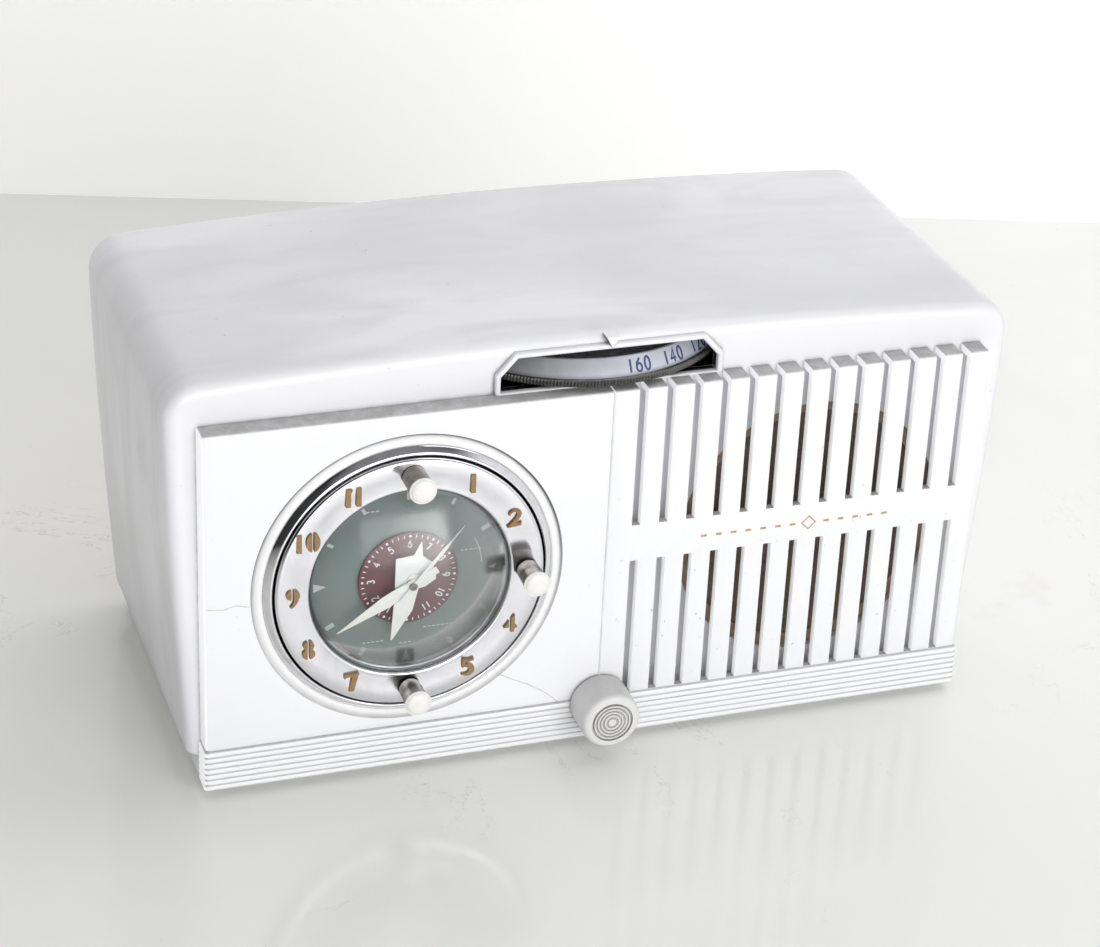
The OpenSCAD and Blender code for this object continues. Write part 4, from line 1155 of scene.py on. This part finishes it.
def build_tuning_wheel():
    wheel = about_z(DIAL_X, DIAL_Y)
    teeth, verts = 300, []
    section = [(58.6, 156, 0), (60.9, 156, 0), (61.2, 156.35, 0.3), (61.2, 158.1, 0.3),
               (60.9, 158.55, 0), (60.3, 158.8, 0), (58.6, 158.8, 0)]
    for r, z, bite in section:
        verts += [wheel(r + (bite if k % 2 else -bite), z, math.pi * k / teeth)
                  for k in range(teeth * 2)]
    rim = raw_object("tuning_dial_rim", verts, ring_faces(teeth * 2, len(section), True))
    piece(rim, "tuning", KNURL, "tuning_dial", 20)
    band = revolve("tuning_dial_band", [
        (58.7, 158.75), (60, 158.75), (60.15, 158.95), (56.95, 165.3), (56.6, 165.5),
        (55.6, 165.5), (55.2, 165.2), (55.2, 162), (58, 158.75)], wheel, 192)
    piece(band, "tuning", DIAL_BAND, sharp=40)
    web = revolve("tuning_dial_web", [
        (3, 150), (9, 150), (9, 161.9), (55.3, 161.9), (55.3, 164.1), (14, 164.1),
        (12, 165), (3, 165)], wheel, 128)
    piece(web, "tuning", WEB)
    marks = ((160, 9.25), (140, 25), (120, 40.5), (100, 57.5), (80, 75), (70, 91),
             (60, 108), (55, 122))

    def placed(degrees):
        return lambda u, v, top: band_point(math.radians(degrees) * 58.5 + u, v, top * 0.09 - 0.03)

    numbers = [painted_number(str(number), 5.9, 3.6, 0.85, 0.8, placed(degrees))
               for number, degrees in marks]
    piece(merged("tuning_dial_numbers", numbers), "tuning", NAVY)


# ---- mains lead
def build_lead():
    """Lead out of the grip, wound in half turns of growing radius, down to the plug."""
    exit_x, _, exit_z = middle("cord_grip")
    plug_x, plane, _ = middle("plug_body")
    bottom, plug_top = [corner[2] for corner in mm_box("plug_body")]
    centre = exit_x + 18
    turns = [(centre - (k % 2) * 2.5, 18 + 2.5 * k, -1 if k % 2 == 0 else 1) for k in range(5)]
    turns.append((centre - 8, 36, 1))
    path = [(exit_x, plane - 18, exit_z), (exit_x, plane - 9, exit_z), (exit_x, plane - 4, exit_z),
            (exit_x + 0.1, plane - 1.2, exit_z - 0.3)]
    for x, r, side in turns:
        for k in range(1, 25):
            a = math.pi * k / 24
            path.append((x + side * r * math.cos(a), plane, exit_z + side * r * math.sin(a)))
    drop = exit_z - plug_top
    path += [(plug_x, plane, exit_z - drop * k / 6) for k in range(1, 7)]
    piece(tube("power_cord_lead", path, 2.3), "cabinet", RUBBER, "power_cord", 60)
    profile = [(0, plug_top + 0.2), (3.4, plug_top + 0.2), (4.6, plug_top - 1.5)]
    for k in range(5):
        z = plug_top - 3 - k * 2.2
        profile += [(4.9 + k * 0.12, z), (4.3 + k * 0.12, z - 0.7), (4.9 + k * 0.12, z - 1.4)]
    profile += [(6.3, bottom + 9), (6.5, bottom + 7), (6.5, bottom + 1), (6, bottom),
                (0, bottom)]
    body = revolve("plug_body_shell", profile, about_z(plug_x, plane), 48)
    piece(body, "cabinet", RUBBER, "plug_body")


# ---- carried-over CAD nodes
CARRIED = (
    (STEEL, "back_screws chassis chassis_screws frame_screws tuner_frame volume_control "
            "clock_plate volume_shaft"),
    (BRASS, "volume_nut clock_rear_plate plug_blades tuning_shaft minute_arbor hour_wheel "
            "minute_wheel alarm_wheel"),
    (ALUMINIUM, "if_cans filter_can tuner_stator tuner_rotor"), (COPPER, "loop_antenna rotor_can"),
    (MAGNET, "speaker_magnet tube_plates"), (IRON, "output_core motor_core"),
    (COIL, "output_coil motor_coil"), (FIBRE, "back_cover"), (BASKET, "speaker_frame"),
    (CONE, "speaker_cone"), (PHENOLIC, "tube_sockets"), (TUBE_GLASS, "tube_glass"),
    (LAMP_GLASS, "dial_lamp"), (RUBBER, "cord_grip"), (BLACK_KNOB, "time_set_knob"),
    (SLEEVE, "alarm_stem"))


def dress_cad_nodes():
    for material, names in CARRIED:
        for name in names.split():
            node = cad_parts[name]
            node.data.materials.clear()
            node.data.materials.append(material)


# ---- floor, light and camera
def stage_plane(name, corners, material):
    obj = raw_object(name, corners, [(0, 1, 2, 3)])
    obj.data.materials.append(material)
    return obj


def build_stage():
    """Table top and backdrop, which meet along the line seen in the photo."""
    seam_a, seam_b = Vector((-105.6, 520.8, 0)), Vector((401, 368.8, 0))
    along = (seam_b - seam_a).normalized()
    away = Vector((-along.y, along.x, 0))
    left, right = seam_a - along * 3500, seam_b + along * 3500
    reach = away * 4500
    stage_plane("floor", [left - reach, right - reach, right + reach, left + reach],
                floor_finish())
    left, right = [corner + away * 3 for corner in (left, right)]
    low, up = Vector((0, 0, -30)), Vector((0, 0, 3500))
    stage_plane("backdrop", [left + low, right + low, right + up, left + up], wall_finish())


def area_light(name, position, target, width, height, power, colour):
    data = bpy.data.lights.new(name, "AREA")
    data.shape = "RECTANGLE"
    data.size, data.size_y = width * MM, height * MM
    data.energy = power
    data.color = colour
    obj = bpy.data.objects.new(name, data)
    obj.location = Vector(position) * MM
    obj.rotation_euler = (Vector(target) - Vector(position)).to_track_quat("-Z", "Y").to_euler()
    obj.visible_camera = False
    scene.collection.objects.link(obj)
    return obj


def build_world():
    """Even pale room for diffuse light; mirrors see the same room, dark towards the left."""
    world = bpy.data.worlds.new("studio")
    world.use_nodes = True
    room = Nodes(world.node_tree)
    plain = room.tree.nodes["Background"]
    room.feed((0.97, 0.975, 1), plain.inputs["Color"])
    room.feed(ROOM_LIGHT, plain.inputs["Strength"])
    mirrored = room.node("ShaderNodeBackground")
    way = room.node("ShaderNodeTexCoord").outputs["Generated"]
    bands = room.node("ShaderNodeValToRGB")
    stops = ((0, 0.03), (0.22, 0.05), (0.36, 0.75), (0.62, 0.9), (0.8, 0.35), (0.9, 0.9))
    while len(bands.color_ramp.elements) < len(stops):
        bands.color_ramp.elements.new(0.5)
    for element, (position, grey) in zip(bands.color_ramp.elements, stops):
        element.position = position
        element.color = (grey, grey, grey * 1.02, 1)
    room.link(room.ramp(room.part(way, "X"), -1, 1), bands.inputs[0])
    room.link(bands.outputs[0], mirrored.inputs["Color"])
    overhead = room.ramp(room.part(way, "Z"), 0.5, 0.72, 1, 0.3)
    room.link(overhead, mirrored.inputs["Strength"])
    glossy = room.node("ShaderNodeLightPath").outputs["Is Glossy Ray"]
    room.mix_shaders(glossy, plain.outputs[0], mirrored.outputs[0],
                     room.tree.nodes["World Output"])
    scene.world = world


def build_camera():
    """Three-quarter view from the upper left, with the slight roll of a hand-held shot."""
    azimuth, elevation, roll = math.radians(-19.74), math.radians(27.69), math.radians(2.69)
    distance = 1091.4
    target = Vector((-23.37, FRONT, 122.68))
    back = Vector((math.sin(azimuth) * math.cos(elevation),
                   -math.cos(azimuth) * math.cos(elevation), math.sin(elevation)))
    right = (-back).cross(Vector((0, 0, 1))).normalized()
    up = back.cross(right)
    turned_right = right * math.cos(roll) + up * math.sin(roll)
    turned_up = up * math.cos(roll) - right * math.sin(roll)
    data = bpy.data.cameras.new("camera")
    data.lens = 95.31
    data.sensor_width = 36
    data.clip_end = 50
    obj = bpy.data.objects.new("camera", data)
    axes = Matrix((turned_right, turned_up, back)).transposed().to_4x4()
    obj.matrix_world = Matrix.Translation((target + back * distance) * MM) @ axes
    scene.collection.objects.link(obj)
    scene.camera = obj


def build_light():
    build_world()
    target = (0, -40, 80)
    area_light("key", (120, -1850, 480), target, 2200, 1300, 25.2, (1, 0.998, 0.99))
    area_light("top", (750, 250, 1450), target, 1400, 1000, 6.5, (0.98, 0.985, 1))
    scene.view_settings.view_transform = "Standard"
    scene.view_settings.look = "None"


for build in (build_cabinet, build_foot_rails, build_window_frame, build_panels,
              build_panel_marks, build_clock_rings, build_dial, build_lens, build_alarm_disc,
              build_hands, build_clock_knobs, build_volume_knob, build_tuning_wheel, build_lead,
              dress_cad_nodes, build_stage, build_light, build_camera):
    build()
